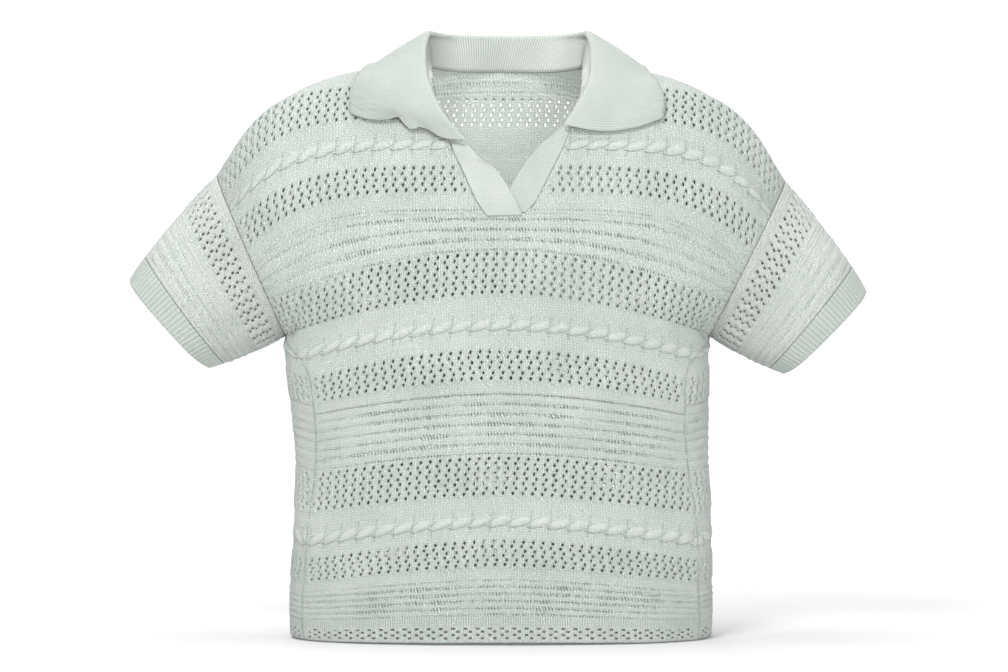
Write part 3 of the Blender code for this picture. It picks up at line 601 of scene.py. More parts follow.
def linear(code):
    # sRGB hex to linear: the usual curve, ((c + 0.055) / 1.055) ^ 2.4 above its toe
    channels = [int(code[i:i + 2], 16) / 255 for i in (0, 2, 4)]
    return tuple(c / 12.92 if c <= 0.04045 else ((c + 0.055) / 1.055) ** 2.4 for c in channels) + (1.0,)


def node(tree, kind, *values, sockets=None, **settings):
    # Adds a node with its settings. Values go to its first sockets in order, sockets to the
    # ones they name, each as a fixed value or as a link from another node. A kind in capitals
    # is an operation of the Math node.
    made = tree.nodes.new("ShaderNodeMath" if kind.isupper() else "ShaderNode" + kind)
    if kind.isupper():
        made.operation = kind
    for key, value in settings.items():
        setattr(made, key, value)
    for key, value in [*enumerate(values), *(sockets or {}).items()]:
        value = value.outputs[0] if isinstance(value, bpy.types.Node) else value
        if isinstance(value, bpy.types.NodeSocket):
            tree.links.new(value, made.inputs[key])
        else:
            made.inputs[key].default_value = value
    return made


def emptyMaterial(name):
    # A material without nodes, and the function that adds them.
    material = bpy.data.materials.new(name)
    material.use_nodes = True
    material.node_tree.nodes.clear()
    return material, partial(node, material.node_tree)


cottonLooks = {
    "lace": {
        "colour": "F2F6F1", "shade": "7F8D86", "roughness": 0.92, "sheen": 0.2,
        # stitches of the real knit are about 1.3 mm wide, drawn 3 mm so that they show
        "stitchWidth": 3.0, "stitchHeight": 2.6, "slant": 0.8, "jitter": 2.6,
        "relief": 1.3, "stitchShade": 0.9,
        # ropes: half height of their band and a height outside all of them; how high and how
        # round a leaf is, how much of its painted stitch shade it flattens and how much even painted
        # shade it gets instead
        "rope": {"reach": 11.0, "away": 20.0, "stand": 2.0, "round": 0.8, "flatter": 0.75,
                 "tone": 0.26,
                 # the painted shadow line under a leaf: at which height of its dome, how sharp, how far
                 # below its middle, up to which height of the neighbour, how dark
                 "shadowAt": 0.05, "lineSharp": 4.5, "shadowBelow": -0.6, "shadowOver": 0.35,
                 "line": 0.35,
                 # dashes of painted shade above and below the place where two leaves cross
                 "dashLean": -0.15, "dashHalf": 1.8, "dashPitch": 2.4, "dashSharp": 1.5,
                 "dash": 0.45},
        # gaps of the ripple grooves, painted dark as shade: pitch, half height, slant, how far the
        # groove wanders, where gaps open, how sharp they are, how much less shows from inside, where
        # they close as the cloth turns away, how dark the painted shade is and how deep they are
        "gaps": {"pitch": 3.1, "half": 1.9, "slant": 0.35, "wander": 5.0,
                 "parted": (0.38, 0.6, 0.35, 1.0), "lineSharp": 0.7, "beatSharp": 2.5,
                 "within": -0.5, "aside": (120.0, 190.0, 1.0, 0.4), "dark": 0.95, "sink": -2.5},
        # close ribs above the hem, drawn with painted shade: middle height, half height, pitch, share
        # that stays light, how dark
        "hemRib": (-526.8, 4.6, 2.4, 0.4, 0.4),
        # the inside lies in deep shade just above the hem: colour, from a height to a height
        "hemShade": ("3C4440", -500.0, -530.0),
        # painted light, a glow of the inner face standing in for light through the thin cloth at the
        # back of the neck: from a height to a height and up to the seam, about a middle, half as wide
        # as width and half the height
        "glow": {"strength": 0.5, "from": -150.0, "to": -80.0, "seam": 25.0, "middle": 6.0,
                 "width": 88.0, "soft": 6.0, "taper": -0.5}},
    "rib": {"colour": "D7DCD6", "shade": "818D87", "roughness": 0.9, "sheen": 0.2,
            "stitchWidth": 2.65, "stitchHeight": 2.0, "slant": 0.5, "jitter": 1.2,
            "relief": 0.8, "stitchShade": 0.5},
}
# the sleeves lie flatter and smoother than the body, and get less painted stitch shade, which also
# makes up for the light they lose where they turn away; they get no painted glow
cottonLooks["sleeve"] = {**cottonLooks["lace"], "stitchShade": 0.7, "glow": None}

# what all the cotton shares: sharpness of a stitch's legs, how much it beats along its column,
# its hairs, the weight of the painted shade from the mesh's shade mark, clouds in the yarn, bump depth
# in metres
yarn = {"lift": 1.6, "legs": 0.8, "beat": (0.7, 0.3), "hair": 0.35, "meshShade": 0.55, "cloud": 0.25,
        "depth": 0.0006, "ior": 1.46, "specular": 0.2, "sheenRoughness": 0.6,
        # noise that makes it uneven: scale in cycles a metre, detail
        "uneven": {"jitter": (280.0, 2.0), "lift": (170.0, 2.0), "hair": (900.0, 3.0),
                   "cloud": (22.0, 3.0), "welt": (45.0, 1.0), "gap": (200.0, 1.0)}}


def wave(add, value, pitch):
    # Half a cosine plus a half: 1 at every whole pitch, 0 halfway between.
    return add("MULTIPLY_ADD", add("COSINE", add("MULTIPLY", value, 2 * math.pi / pitch)), 0.5, 0.5)


def nearLine(add, distance, half):
    # 1 on a line, falling evenly to 0 at half its width: 1 - distance / half.
    return add("SUBTRACT", 1.0, add("MINIMUM", add("DIVIDE", distance, half), 1.0))


def drawRopes(add, look, cloth):
    # The mesh's leaves once more: the highest of three leaning half ellipsoids,
    # 1 - (u / length)^2 - (lean / width)^2, which hides stitches, with a painted shadow line along
    # the lower edge of each and dashes of painted shade where two cross.
    rope, x, y = look["rope"], cloth["x"], cloth["y"]
    across, inRope = rope["away"], 0.0
    for kind, low, high in [row[:3] for row in knit["bands"]]:
        if kind == "rope":
            fromMiddle = add("SUBTRACT", y, (low + high) / 2)
            here = add("LESS_THAN", add("ABSOLUTE", fromMiddle), rope["reach"])
            across = add("MULTIPLY_ADD", here, add("SUBTRACT", fromMiddle, rope["away"]), across)
            inRope = add("ADD", inRope, here)
    turn = add("SUBTRACT", add("FRACT", add("MULTIPLY_ADD", x, 1 / knit["ropeTurn"], 0.5)), 0.5)
    best, under = None, None
    for step in (-1, 0, 1):
        u = add("MULTIPLY", add("SUBTRACT", turn, step), knit["ropeTurn"])
        lean = add("MULTIPLY_ADD", u, -knit["leafLean"], across)
        lengthwise = add("POWER", add("ABSOLUTE", add("DIVIDE", u, knit["leafLength"])), 2.0)
        wide = add("POWER", add("ABSOLUTE", add("DIVIDE", lean, knit["leafWidth"])), 2.0)
        dome = add("SUBTRACT", 1.0, add("ADD", lengthwise, wide))
        # painted shadow along the lower edge of each leaf
        offLine = add("ABSOLUTE", add("SUBTRACT", dome, rope["shadowAt"]))
        edge = add("SUBTRACT", 1.0, add("MINIMUM", add("MULTIPLY", offLine, rope["lineSharp"]), 1.0))
        edge = add("MULTIPLY", edge, add("LESS_THAN", lean, rope["shadowBelow"]))
        best = dome if best is None else add("MAXIMUM", best, dome)
        under = edge if under is None else add("MAXIMUM", under, edge)
    inRope = add("MULTIPLY", inRope, add("SUBTRACT", 1.0, cloth["inside"]))
    leaf = add("MULTIPLY", add("POWER", add("MAXIMUM", best, 0.0), rope["round"]), inRope)
    cloth["height"] = add("MULTIPLY_ADD", leaf, rope["stand"], cloth["height"])
    # even painted shade over each leaf, in place of the painted shade between its stitches
    smooth = add("MULTIPLY_ADD", cloth["flat"], -rope["flatter"] * look["stitchShade"], rope["tone"])
    under = add("MULTIPLY", add("MULTIPLY", under, inRope), add("LESS_THAN", best, rope["shadowOver"]))
    crossing = add("MULTIPLY", add("MULTIPLY_ADD", across, rope["dashLean"], x), 1 / knit["ropeTurn"])
    crossing = add("ABSOLUTE", add("SUBTRACT", add("FRACT", crossing), 0.5))
    dash = nearLine(add, add("MULTIPLY", crossing, knit["ropeTurn"]), rope["dashHalf"])
    beat = add("POWER", wave(add, y, rope["dashPitch"]), rope["dashSharp"])
    dash = add("MULTIPLY", add("MULTIPLY", dash, inRope), beat)
    # painted shade: even over each leaf, a painted shadow under it, dashes where leaves cross
    for mark, weight in ((smooth, leaf), (under, rope["line"]), (dash, rope["dash"])):
        cloth["dark"] = add("MULTIPLY_ADD", mark, weight, cloth["dark"])


def drawGaps(add, look, cloth):
    # Short gaps between stitches along each groove of the ripple, painted dark as shade and sunk
    # in the bump, some open, some shut: a wandering line times a slanting wave, both sharpened by a
    # power.
    gaps, x, y = look["gaps"], cloth["x"], cloth["y"]
    wander = add("SUBTRACT", cloth["uneven"]["welt"], 0.5)
    offLine = add("ABSOLUTE", add("MULTIPLY_ADD", wander, gaps["wander"], cloth["groove"]))
    line = add("POWER", nearLine(add, offLine, gaps["half"]), gaps["lineSharp"])
    slanting = add("ADD", add("MULTIPLY_ADD", y, gaps["slant"], x), cloth["jitter"])
    beat = add("POWER", wave(add, slanting, gaps["pitch"]), gaps["beatSharp"])
    parted = add("MapRange", cloth["uneven"]["gap"], *gaps["parted"])
    gap = add("MULTIPLY", add("MULTIPLY", line, beat), parted)
    gap = add("MULTIPLY", gap, add("MULTIPLY_ADD", cloth["inside"], gaps["within"], 1.0))
    gap = add("MULTIPLY", gap, add("MapRange", add("ABSOLUTE", x), *gaps["aside"]))
    cloth["dark"] = add("MULTIPLY_ADD", gap, gaps["dark"], cloth["dark"])
    cloth["height"] = add("MULTIPLY_ADD", gap, gaps["sink"], cloth["height"])
    # the close ribs above the hem, with painted shade at each rib's middle
    middle, half, pitch, light, strength = look["hemRib"]
    inRib = add("LESS_THAN", add("ABSOLUTE", add("SUBTRACT", y, middle)), half)
    rib = add("MULTIPLY", inRib, add("SUBTRACT", wave(add, x, pitch), light))
    cloth["dark"] = add("MULTIPLY_ADD", rib, strength, cloth["dark"])


def paintedNeckLight(add, look, cloth):
    # How strongly the inner face glows with painted light, standing in for light through the thin
    # cloth: a rise with height times a soft width that grows by half of the height, only inside and
    # below the neck seam.
    glow, x, y = look["glow"], cloth["x"], cloth["y"]
    lit = add("MapRange", y, glow["from"], glow["to"])
    aside = add("ABSOLUTE", add("SUBTRACT", x, glow["middle"]))
    aside = add("MULTIPLY_ADD", y, glow["taper"], aside)
    middle = add("MapRange", aside, glow["width"] + glow["soft"], glow["width"] - glow["soft"])
    lit = add("MULTIPLY", add("MULTIPLY", lit, middle), cloth["inside"])
    return add("MULTIPLY", add("MULTIPLY", lit, glow["strength"]), add("LESS_THAN", y, glow["seam"]))


def combedCottonKnit(name, look):
    # Combed cotton, fine gauge: matte, slightly hairy, so the eye sees soft columns of
    # V-shaped stitches with small dark gaps, which are painted shade, and almost no gloss. A stitch
    # is the sine of its place across the column times a wave along it, sheared by the slant of its
    # legs.
    material, add = emptyMaterial(name)
    x, y = add("SeparateXYZ", add("UVMap", uv_map="knit")).outputs[:2]
    spot = add("TexCoord").outputs["Object"]
    uneven = {part: add("TexNoise", sockets={"Vector": spot, "Scale": scale, "Detail": detail})
              for part, (scale, detail) in yarn["uneven"].items()}
    shade, inside, groove = (add("Attribute", attribute_name=mark).outputs["Fac"]
                             for mark in ("shade", "inside", "groove"))
    jitter = add("MULTIPLY", add("SUBTRACT", uneven["jitter"], 0.5), look["jitter"])
    lift = add("MULTIPLY", add("SUBTRACT", uneven["lift"], 0.5), look["jitter"] * yarn["lift"])
    # distance from the middle of the stitch column, 0 to 0.5
    beside = add("DIVIDE", add("ADD", x, jitter), look["stitchWidth"])
    off = add("ABSOLUTE", add("SUBTRACT", add("FRACT", beside), 0.5))
    rise = add("DIVIDE", add("ADD", y, lift), look["stitchHeight"])
    rise = add("MULTIPLY_ADD", off, -look["slant"] * 2, rise)
    legs = add("POWER", add("SINE", add("MULTIPLY", off, 2 * math.pi)), yarn["legs"])
    stitch = add("MULTIPLY", legs, add("MULTIPLY_ADD", wave(add, rise, 1.0), *yarn["beat"]))
    flat = add("SUBTRACT", 1.0, stitch)
    # painted shade: dark between the stitches, plus the painted shade of the mesh's shade mark
    cloth = {"x": x, "y": y, "inside": inside, "groove": groove, "uneven": uneven, "jitter": jitter,
             "flat": flat, "height": add("MULTIPLY_ADD", uneven["hair"], yarn["hair"], stitch),
             "dark": add("MULTIPLY_ADD", flat, look["stitchShade"],
                         add("MULTIPLY", shade, yarn["meshShade"]))}
    if "rope" in look:
        drawRopes(add, look, cloth)
        drawGaps(add, look, cloth)
    bump = add("Bump", sockets={"Strength": look["relief"], "Distance": yarn["depth"],
                                "Height": cloth["height"]})
    cloud = add("SUBTRACT", uneven["cloud"], 0.5)
    dark = add("Clamp", add("MULTIPLY_ADD", cloud, yarn["cloud"], cloth["dark"]))
    colour = add("Mix", data_type="RGBA",
                 sockets={0: dark, 6: linear(look["colour"]), 7: linear(look["shade"])}).outputs[2]
    if "hemShade" in look:
        deep, begin, end = look["hemShade"]
        colour = add("Mix", data_type="RGBA",
                     sockets={0: add("MULTIPLY", add("MapRange", y, begin, end), inside),
                              6: colour, 7: linear(deep)}).outputs[2]
    sockets = {"Base Color": colour, "Roughness": look["roughness"], "IOR": yarn["ior"], "Normal": bump,
               "Specular IOR Level": yarn["specular"], "Sheen Weight": look["sheen"],
               "Sheen Roughness": yarn["sheenRoughness"]}
    # painted light: the inner face at the back of the neck glows in the cloth's colour
    if look.get("glow"):
        sockets.update({"Emission Strength": paintedNeckLight(add, look, cloth), "Emission Color": colour})
    add("OutputMaterial", add("BsdfPrincipled", sockets=sockets))
    return material


laceKnit = combedCottonKnit("combed_cotton_lace_knit", cottonLooks["lace"])
ribKnit = combedCottonKnit("combed_cotton_rib_knit", cottonLooks["rib"])
sleeveCotton = combedCottonKnit("combed_cotton_sleeve_knit", cottonLooks["sleeve"])
print("materials made")

# each panel is two pieces, so that neither has too many triangles
cutHeights = {"front": -307.0, "back": -297.24}
frontPieces = makePanel("front", True, cutHeights["front"], laceKnit)
backPieces = makePanel("back", False, cutHeights["back"], laceKnit)
print("panels made")

sleeveKnit = {
    "wales": 42, "length": 112.3, "cuffStart": 0.785, "shift": 0.15, "sewnGap": 0.15,
    "reliefFade": 1.5, "foldFade": 15, "ringPoints": 361,
    # kind, low, high, units, mesh rows in a unit, first shift, drift, in mm from the armhole
    "bands": [("ripple", 1.4, 8.6, 3, 4, 0, 0), ("lace", 10.6, 38.2, 6, 4, 0.5, 0.5),
              ("ripple", 40.6, 50.2, 3, 4, 0, 0), ("ripple", 56.5, 84.5, 3, 6, 0, 0)],
    # soft creases: share of the way round from the underside, share of the length,
    # half width round, half width along, how far out
    "folds": [(0.10, 0.30, 0.035, 0.5, -2.4), (0.88, 0.45, 0.04, 0.5, -2.2),
              (0.30, 0.15, 0.05, 0.35, -1.6), (0.72, 0.2, 0.05, 0.4, -1.7),
              (0.24, 0.7, 0.06, 0.5, 1.3), (0.6, 0.75, 0.06, 0.5, 1.2)],
}
cuffKnit = {"ribs": 72, "columnsInRib": 6, "rows": 12, "rib": 0.6, "shift": 0.8, "round": 3.5,
            # rib at both edges, rib on the inner face, unevenness, shade and a groove's shade
            "edgeRib": 0.4, "innerRib": 0.3, "uneven": 0.075, "shade": (0.2, 0.5)}


def sleeveFolds(share, along):
    # Sum of soft creases: depth * exp(-(round / width)^2 - (along / length)^2).
    total = np.zeros_like(share)
    for centre, level, width, length, depth in sleeveKnit["folds"]:
        total += depth * np.exp(-((share - centre) / width) ** 2 - ((along - level) / length) ** 2)
    return total


def tubeGrid(side, along, columns, shift):
    # Rings of the sleeve's slanted ellipses, walked evenly from the sewn underside and moved
    # on along the sleeve; also their normals in each ring's own plane and the bulge there,
    # bulge * sin(pi * along).
    angle = np.tile(np.linspace(math.pi, 3 * math.pi, sleeveKnit["ringPoints"]), (len(along), 1))
    ring = ringPoint(side, angle, along[:, None] + 0 * angle)
    reach = lengthsAlong(ring)
    s = columns * reach[:, -1:]
    s = np.clip(s, sleeveKnit["sewnGap"], reach[:, -1:] - sleeveKnit["sewnGap"])
    turned = alongRows(s, reach, angle[..., None])[..., 0]
    width = np.tile(along[:, None], (1, s.shape[1]))
    here = ringPoint(side, turned, width)
    run = ringPoint(side, turned + 0.01, width) - ringPoint(side, turned - 0.01, width)
    height = ringPoint(side, 0 * along, along) - ringPoint(side, 0 * along + math.pi, along)
    square = np.stack([height[:, 2], 0 * along, -height[:, 0]], axis=-1)[:, None, :]
    normal = unit(np.cross(run, square))
    bulge = form["bulge"] * np.sin(np.pi * along)[:, None]
    place = here + sleeveAxis(side) * shift
    return place, normal, bulge, s


def makeSleeve(side, material):
    # Rings from armhole to cuff, pushed out by bulge, knit relief and creases, with eyelets cut.
    bands = sleeveKnit["bands"]
    end = sleeveKnit["cuffStart"] * sleeveKnit["length"]
    h, band, place = knitRows(bands, 0.0, end, [])
    along = h / sleeveKnit["length"]
    count = sleeveKnit["wales"] * knit["columnsInWale"]
    opened, pull = eyelets(bands, band, place, count + 1)
    shift = laceShift(bands, h, band, place)
    share = np.arange(count + 1)[None, :] / count
    pitch = knit["wale"] / knit["columnsInWale"]
    # the shift fades out over an eighth of the way round beside the seam
    unsewn = ramp(np.minimum(share, 1 - share), 1 / 8)
    moved = share + (shift[:, None] + pull) / (pitch * count) * unsewn
    moved[:, 0], moved[:, -1] = 0, 1
    middle, normal, bulge, s = tubeGrid(side, along, moved, sleeveKnit["shift"])
    out, marks = relief(bands, band, place, s)
    toEdge = np.minimum(h, end - h)[:, None]
    edge = ramp(toEdge, sleeveKnit["reliefFade"])
    bend = sleeveFolds(share + 0 * s, along[:, None] + 0 * s) * ramp(toEdge, sleeveKnit["foldFade"])
    outer = middle + normal * (bulge + out * edge + bend)[..., None]
    inner = middle + normal * (bulge + knit["follow"] * out * edge + bend - form["wall"])[..., None]
    kept = ~opened
    kept[:, :3] = True
    kept[:, -3:] = True
    uv = np.stack([s, h[:, None] + 100 + 0 * s], axis=-1)
    return wallPiece("knit_sleeve_" + side, outer, inner, plainIndex(s.shape), kept, uv, marks,
                     material)


def makeCuff(side, material):
    # Ribs: relief -rib * (half a cosine) ^ 1.5 round the cuff, rounded off at its bound edge.
    count = cuffKnit["ribs"] * cuffKnit["columnsInRib"]
    along = np.linspace(sleeveKnit["cuffStart"], 1.0, cuffKnit["rows"] + 1)
    share = np.arange(count + 1)[None, :] / count + 0 * along[:, None]
    place, normal, bulge, s = tubeGrid(side, along, share, cuffKnit["shift"])
    groove = (0.5 - 0.5 * np.cos(2 * np.pi * share * cuffKnit["ribs"])) ** 1.5
    # the free edge rounds off at the top and the underside
    reach = ((along - along[0]) / (along[-1] - along[0]))[:, None] ** 2
    back = cuffKnit["round"] * reach * np.abs(np.cos(2 * np.pi * share)) ** 8
    place = place - sleeveAxis(side) * back[..., None]
    edge = np.ones((len(along), 1))
    edge[[0, -1]] = cuffKnit["edgeRib"]
    rib = cuffKnit["rib"] * groove * edge
    out = seed.normal(0, cuffKnit["uneven"], (1, count + 1)) - rib
    outer = place + normal * (bulge + out)[..., None]
    inner = place + normal * (bulge - form["wall"] + cuffKnit["innerRib"] * rib)[..., None]
    shade = cuffKnit["shade"][0] + cuffKnit["shade"][1] * groove
    uv = np.stack([share * cuffKnit["ribs"] * cottonLooks["rib"]["stitchWidth"] * 2,
                   along[:, None] * sleeveKnit["length"] + 0 * share], axis=-1)
    return wallPiece("rib_cuff_" + side, outer, inner, plainIndex(s.shape),
                     np.ones((len(along) - 1, count), bool), uv, shade, material)


sleeves = {side: makeSleeve(side, sleeveCotton) for side in ("left", "right")}
cuffs = {side: makeCuff(side, ribKnit) for side in ("left", "right")}


collar = {
    "centre": 8.0, "wall": 2.0, "ribs": 208, "stationsInRib": 3, "rib": 0.5, "fallRib": 0.4,
    "thinEdge": 0.45, "edgeWidth": 5.0, "endFrom": 0.84,
    # the collar's shade mark is painted: even on the fall, lighter on the stand as if lit through from
    # behind, darker in each rib's groove and lighter on its ridge
    "shade": (0.35, -0.4, -0.75),  # shade on the fall, what the stand adds, what a rib adds
    # lift of the left front end from fold to edge: share of the way, mm
    "endWave": [(0, 0), (0.17, -1.9), (0.29, 2.9), (0.37, 4.2), (0.45, -1.0), (0.5, 2.5),
                (0.556, 9.0), (0.611, 6.0), (0.667, 3.0), (0.76, -1.5), (0.88, -4.0), (1, -3.5)],
    "stations": 81, "standSteps": 6, "foldSteps": 6, "fallSteps": 18, "fallFine": 40,
    "foldRadius": 3.0, "bow": 1.5, "fallRest": 4.2, "standRest": 2.8, "footRest": 1.8,
    "footInset": 2.2, "footRise": -1.2, "sagFrom": 0.75, "sag": {"left": 2.0, "right": 9.0},
    "restFrom": -150, "restWidth": 185,  # the part of the panels that it may lie on
    # place, fold out, fold y, fold z, edge out, edge y, edge z, row at its foot
    "back": [(0, 0, 80, 56, 0, 88.5, -9, 8), (0.18, 50, 70, 56, 70, 82, -9, 12.5),
             (0.32, 72, 42, 55.5, 112, 60, 4, 16.5), (0.45, 79, 8, 52, 136, 12, 17, 20)],
    "left": [(0.57, 82, -28, 32, 143, -26, 11, 13), (0.70, 80, -55, 7, 151, -48, -3, -5),
             (0.85, 65, -87, -32, 155, -63, -19, -42), (1.0, 41, -97, -62, 154, -73, -31, -68)],
    "right": [(0.57, 82, -28, 32, 138, -26, 11, 13), (0.70, 81, -55, 7, 147, -48, -6, -5),
              (0.85, 70, -78, -21, 153, -63, -23, -32), (1.0, 54, -90, -47, 152, -75, -38, -52)],
}


def neckSamples():
    # Points of both panels round the neck, with outward directions, for the collar to lie on.
    points, outs = [], []
    for name, isFront in (("front", True), ("back", False)):
        h, outer, inner = panelGrid(name, isFront)[:3]
        near = (h[:, None] > collar["restFrom"]) & (np.abs(outer[..., 0]) < collar["restWidth"])
        points.append(outer[near])
        outs.append(unit((outer - inner)[near]))
    return np.concatenate(points), np.concatenate(outs)


def nearestOf(points, samples):
    # Number of the sample at the least squared distance from each point.
    return ((points[:, None, :] - samples[None, :, :]) ** 2).sum(-1).argmin(1)


def restOn(points, samples, outs, distance):
    # Pushes points out along the nearest sample's direction until they are that far outside.
    near = nearestOf(points, samples)
    depth = ((points - samples[near]) * outs[near]).sum(1)
    return points + outs[near] * np.maximum(0, distance - depth)[:, None]


def clearOf(points, samples, distance):
    # Moves points straight away from the nearest sample until they are that far from it.
    near = samples[nearestOf(points, samples)]
    away = points - near
    far = np.linalg.norm(away, axis=1)
    return near + away * np.maximum(1, distance / np.maximum(far, 0.3))[:, None]


def collarSections(side, places, samples, outs):
    # Middle line of the wall at each station: up the stand, round the fold, down the fall.
    sign = form[side]["sign"]
    table = collar["back"] + collar[side]
    v = [through(table, c, places) for c in range(8)]
    fold = np.stack([collar["centre"] + sign * v[1], v[2], v[3]], -1)
    edge = np.stack([collar["centre"] + sign * v[4], v[5], v[6]], -1)
    foot = np.zeros_like(fold)
    seam = collar["back"][-1][0]
    for isFront, use in ((False, places <= seam), (True, places > seam)):
        here, _, reach, begin = halfLines(side, isFront, v[7][use])
        foot[use] = alongRows(begin[:, None], reach, here)[:, 0]
    inward = unit(np.stack([collar["centre"] - foot[:, 0], -foot[:, 1], 0 * foot[:, 0]], -1))
    foot = foot + inward * collar["footInset"] + np.array([0, 0, collar["footRise"]])
    crest = unit(fold - edge)
    outward = unit(np.stack([fold[:, 0] - collar["centre"], fold[:, 1], 0 * fold[:, 0]], -1))
    outward = unit(outward - crest * (outward * crest).sum(-1, keepdims=True))
    radius = collar["foldRadius"]
    centre = fold - crest * radius
    standTop = centre - outward * radius
    t = np.linspace(0, 1, collar["standSteps"], endpoint=False)[None, :, None]
    stand = foot[:, None] + (standTop - foot)[:, None] * t
    turn = (math.pi * (1 - np.linspace(0, 1, collar["foldSteps"] + 1)))[None, :, None]
    arc = centre[:, None] + radius * (outward[:, None] * np.cos(turn) + crest[:, None] * np.sin(turn))
    t = (np.arange(1, collar["fallSteps"] + 1) / collar["fallSteps"])[None, :, None]
    start = arc[:, -1:]
    fall = start + (edge[:, None] - start) * t + outward[:, None] * collar["bow"] * np.sin(np.pi * t)
    sag = collar["sag"][side] * ramp(places - collar["sagFrom"], 1 - collar["sagFrom"]) ** 2
    fall[..., 2] -= sag[:, None] * np.sin(np.pi * t[..., 0])
    if side == "left":
        end = ramp(places - collar["endFrom"], 1 - collar["endFrom"]) ** 2
        fall[..., 2] += end[:, None] * through(collar["endWave"], 1, t[0, :, 0])[None, :]
    upright = np.concatenate([stand, arc], axis=1)
    for i in range(len(places)):
        upright[i] = clearOf(upright[i], samples, collar["standRest"])
        fall[i] = restOn(fall[i], samples, outs, collar["fallRest"])
    upright[:, 0] = foot
    return np.concatenate([upright, fall], axis=1)


def finer(grid, at):
    # Catmull-Rom between the grid's rows: at is in rows of the grid.
    i = np.clip(np.floor(at).astype(int), 0, len(grid) - 2)
    t = (at - i)[:, None, None]
    p = [grid[np.clip(i + k, 0, len(grid) - 1)] for k in (-1, 0, 1, 2)]
    p[0] = np.where((i == 0)[:, None, None], 2 * p[1] - p[2], p[0])
    p[3] = np.where((i == len(grid) - 2)[:, None, None], 2 * p[2] - p[1], p[3])
    return 0.5 * (2 * p[1] + (p[2] - p[0]) * t + (2 * p[0] - 5 * p[1] + 4 * p[2] - p[3]) * t ** 2
                  + (3 * p[1] - p[0] - 3 * p[2] + p[3]) * t ** 3)


def makeCollar(material):
    # Sections of both halves joined into one band, resampled evenly along the fold; the wall
    # stands to both sides of it by half its thickness plus rib * cosine of the rib count.
    samples, outs = neckSamples()
    half = collar["stations"] // 2 + 1
    places = np.linspace(0, 1, half)
    left = collarSections("left", places, samples, outs)[::-1]
    right = collarSections("right", places, samples, outs)[1:]
    coarse = np.concatenate([left, right])
    # even steps along the fold, so that ribs keep their pitch
    folded = coarse[:, collar["standSteps"] + collar["foldSteps"] // 2]
    run = lengthsAlong(folded)
    count = collar["ribs"] * collar["stationsInRib"]
    at = np.interp(np.linspace(0, run[-1], count + 1), run, np.arange(len(coarse)))
    fine = finer(coarse, at)
    profile = np.linspace(0, coarse.shape[1] - 1, collar["fallFine"] + 1)
    fine = finer(fine.transpose(1, 0, 2), profile).transpose(1, 0, 2)
    normal = unit(np.cross(np.gradient(fine, axis=0), np.gradient(fine, axis=1)))
    station = np.arange(count + 1)[:, None] / collar["stationsInRib"]
    wave = np.cos(2 * np.pi * station) + 0 * fine[..., 0]
    depth = lengthsAlong(fine)
    # the wall thins towards the ends and the lower edge
    toEdge = np.minimum(np.minimum(station, station[::-1]) * cottonLooks["rib"]["stitchWidth"],
                        depth[:, -1:] - depth)
    thin = 1 - collar["thinEdge"] * (1 - ramp(toEdge, collar["edgeWidth"])) ** 2
    # ribs stand out more on the stand than on the fall
    onStand = 1 - ramp(profile - collar["standSteps"], collar["foldSteps"])[None, :]
    wave = wave * (collar["fallRib"] + (1 - collar["fallRib"]) * onStand)
    out = collar["rib"] * wave * thin
    uv = np.stack([station * cottonLooks["rib"]["stitchWidth"] + 0 * depth, depth], -1)
    outer = fine + normal * (collar["wall"] / 2 * thin + out)[..., None]
    inner = fine - normal * (collar["wall"] / 2 * thin + out)[..., None]
    # painted shade: even on the fall, less where the stand is painted lighter as if lit through from
    # behind, darker in the rib grooves and lighter on the ridges
    fallShade, standShade, ribShade = collar["shade"]
    shade = fallShade + standShade * onStand + ribShade * wave
    print("collar: fold", round(float(run[-1])), "mm")
    return wallPiece("rib_collar", outer, inner, plainIndex(wave.shape),
                     np.ones((count, fine.shape[1] - 1), bool), uv, shade, material)


collarPiece = makeCollar(ribKnit)


strips = {
    "lengthSteps": 70, "widthSteps": 16, "rimGap": 0.4,
    "roll": 0.5, "rollWidth": 0.09, "shade": 0.35,
    # outer x, outer z, inner x, inner z, from the bottom
    "left": [(-12.4, -135, 21.4, -134), (-22.8, -120, 16, -121), (-27.6, -110, 9.8, -110),
             (-38, -86, -6.6, -87), (-43.5, -75, -17, -81), (-47.5, -64, -31, -66)],
    "right": [(25.4, -131.5, -8, -131.5), (35.2, -120, -0.5, -120.5), (40.5, -110, 8, -110),
              (53, -85.3, 23.4, -85.3), (62, -66, 39, -66), (67, -55, 52, -55), (76, -42, 64.5, -42)],
}


def frontDepth(x, z):
    # Y of the front panel's outer surface at places near the neck opening.
    y = np.zeros_like(x)
    for side, use in (("left", x < form["bodyCentre"]), ("right", x >= form["bodyCentre"])):
        if use.any():
            line = courses(side, True, z[use])
            known = np.maximum.accumulate(np.abs(line[..., 0] - form["bodyCentre"]), axis=1)
            away = np.abs(x[use] - form["bodyCentre"])[:, None]
            y[use] = alongRows(away, known, line[..., 1:2])[:, 0, 0]
    return y


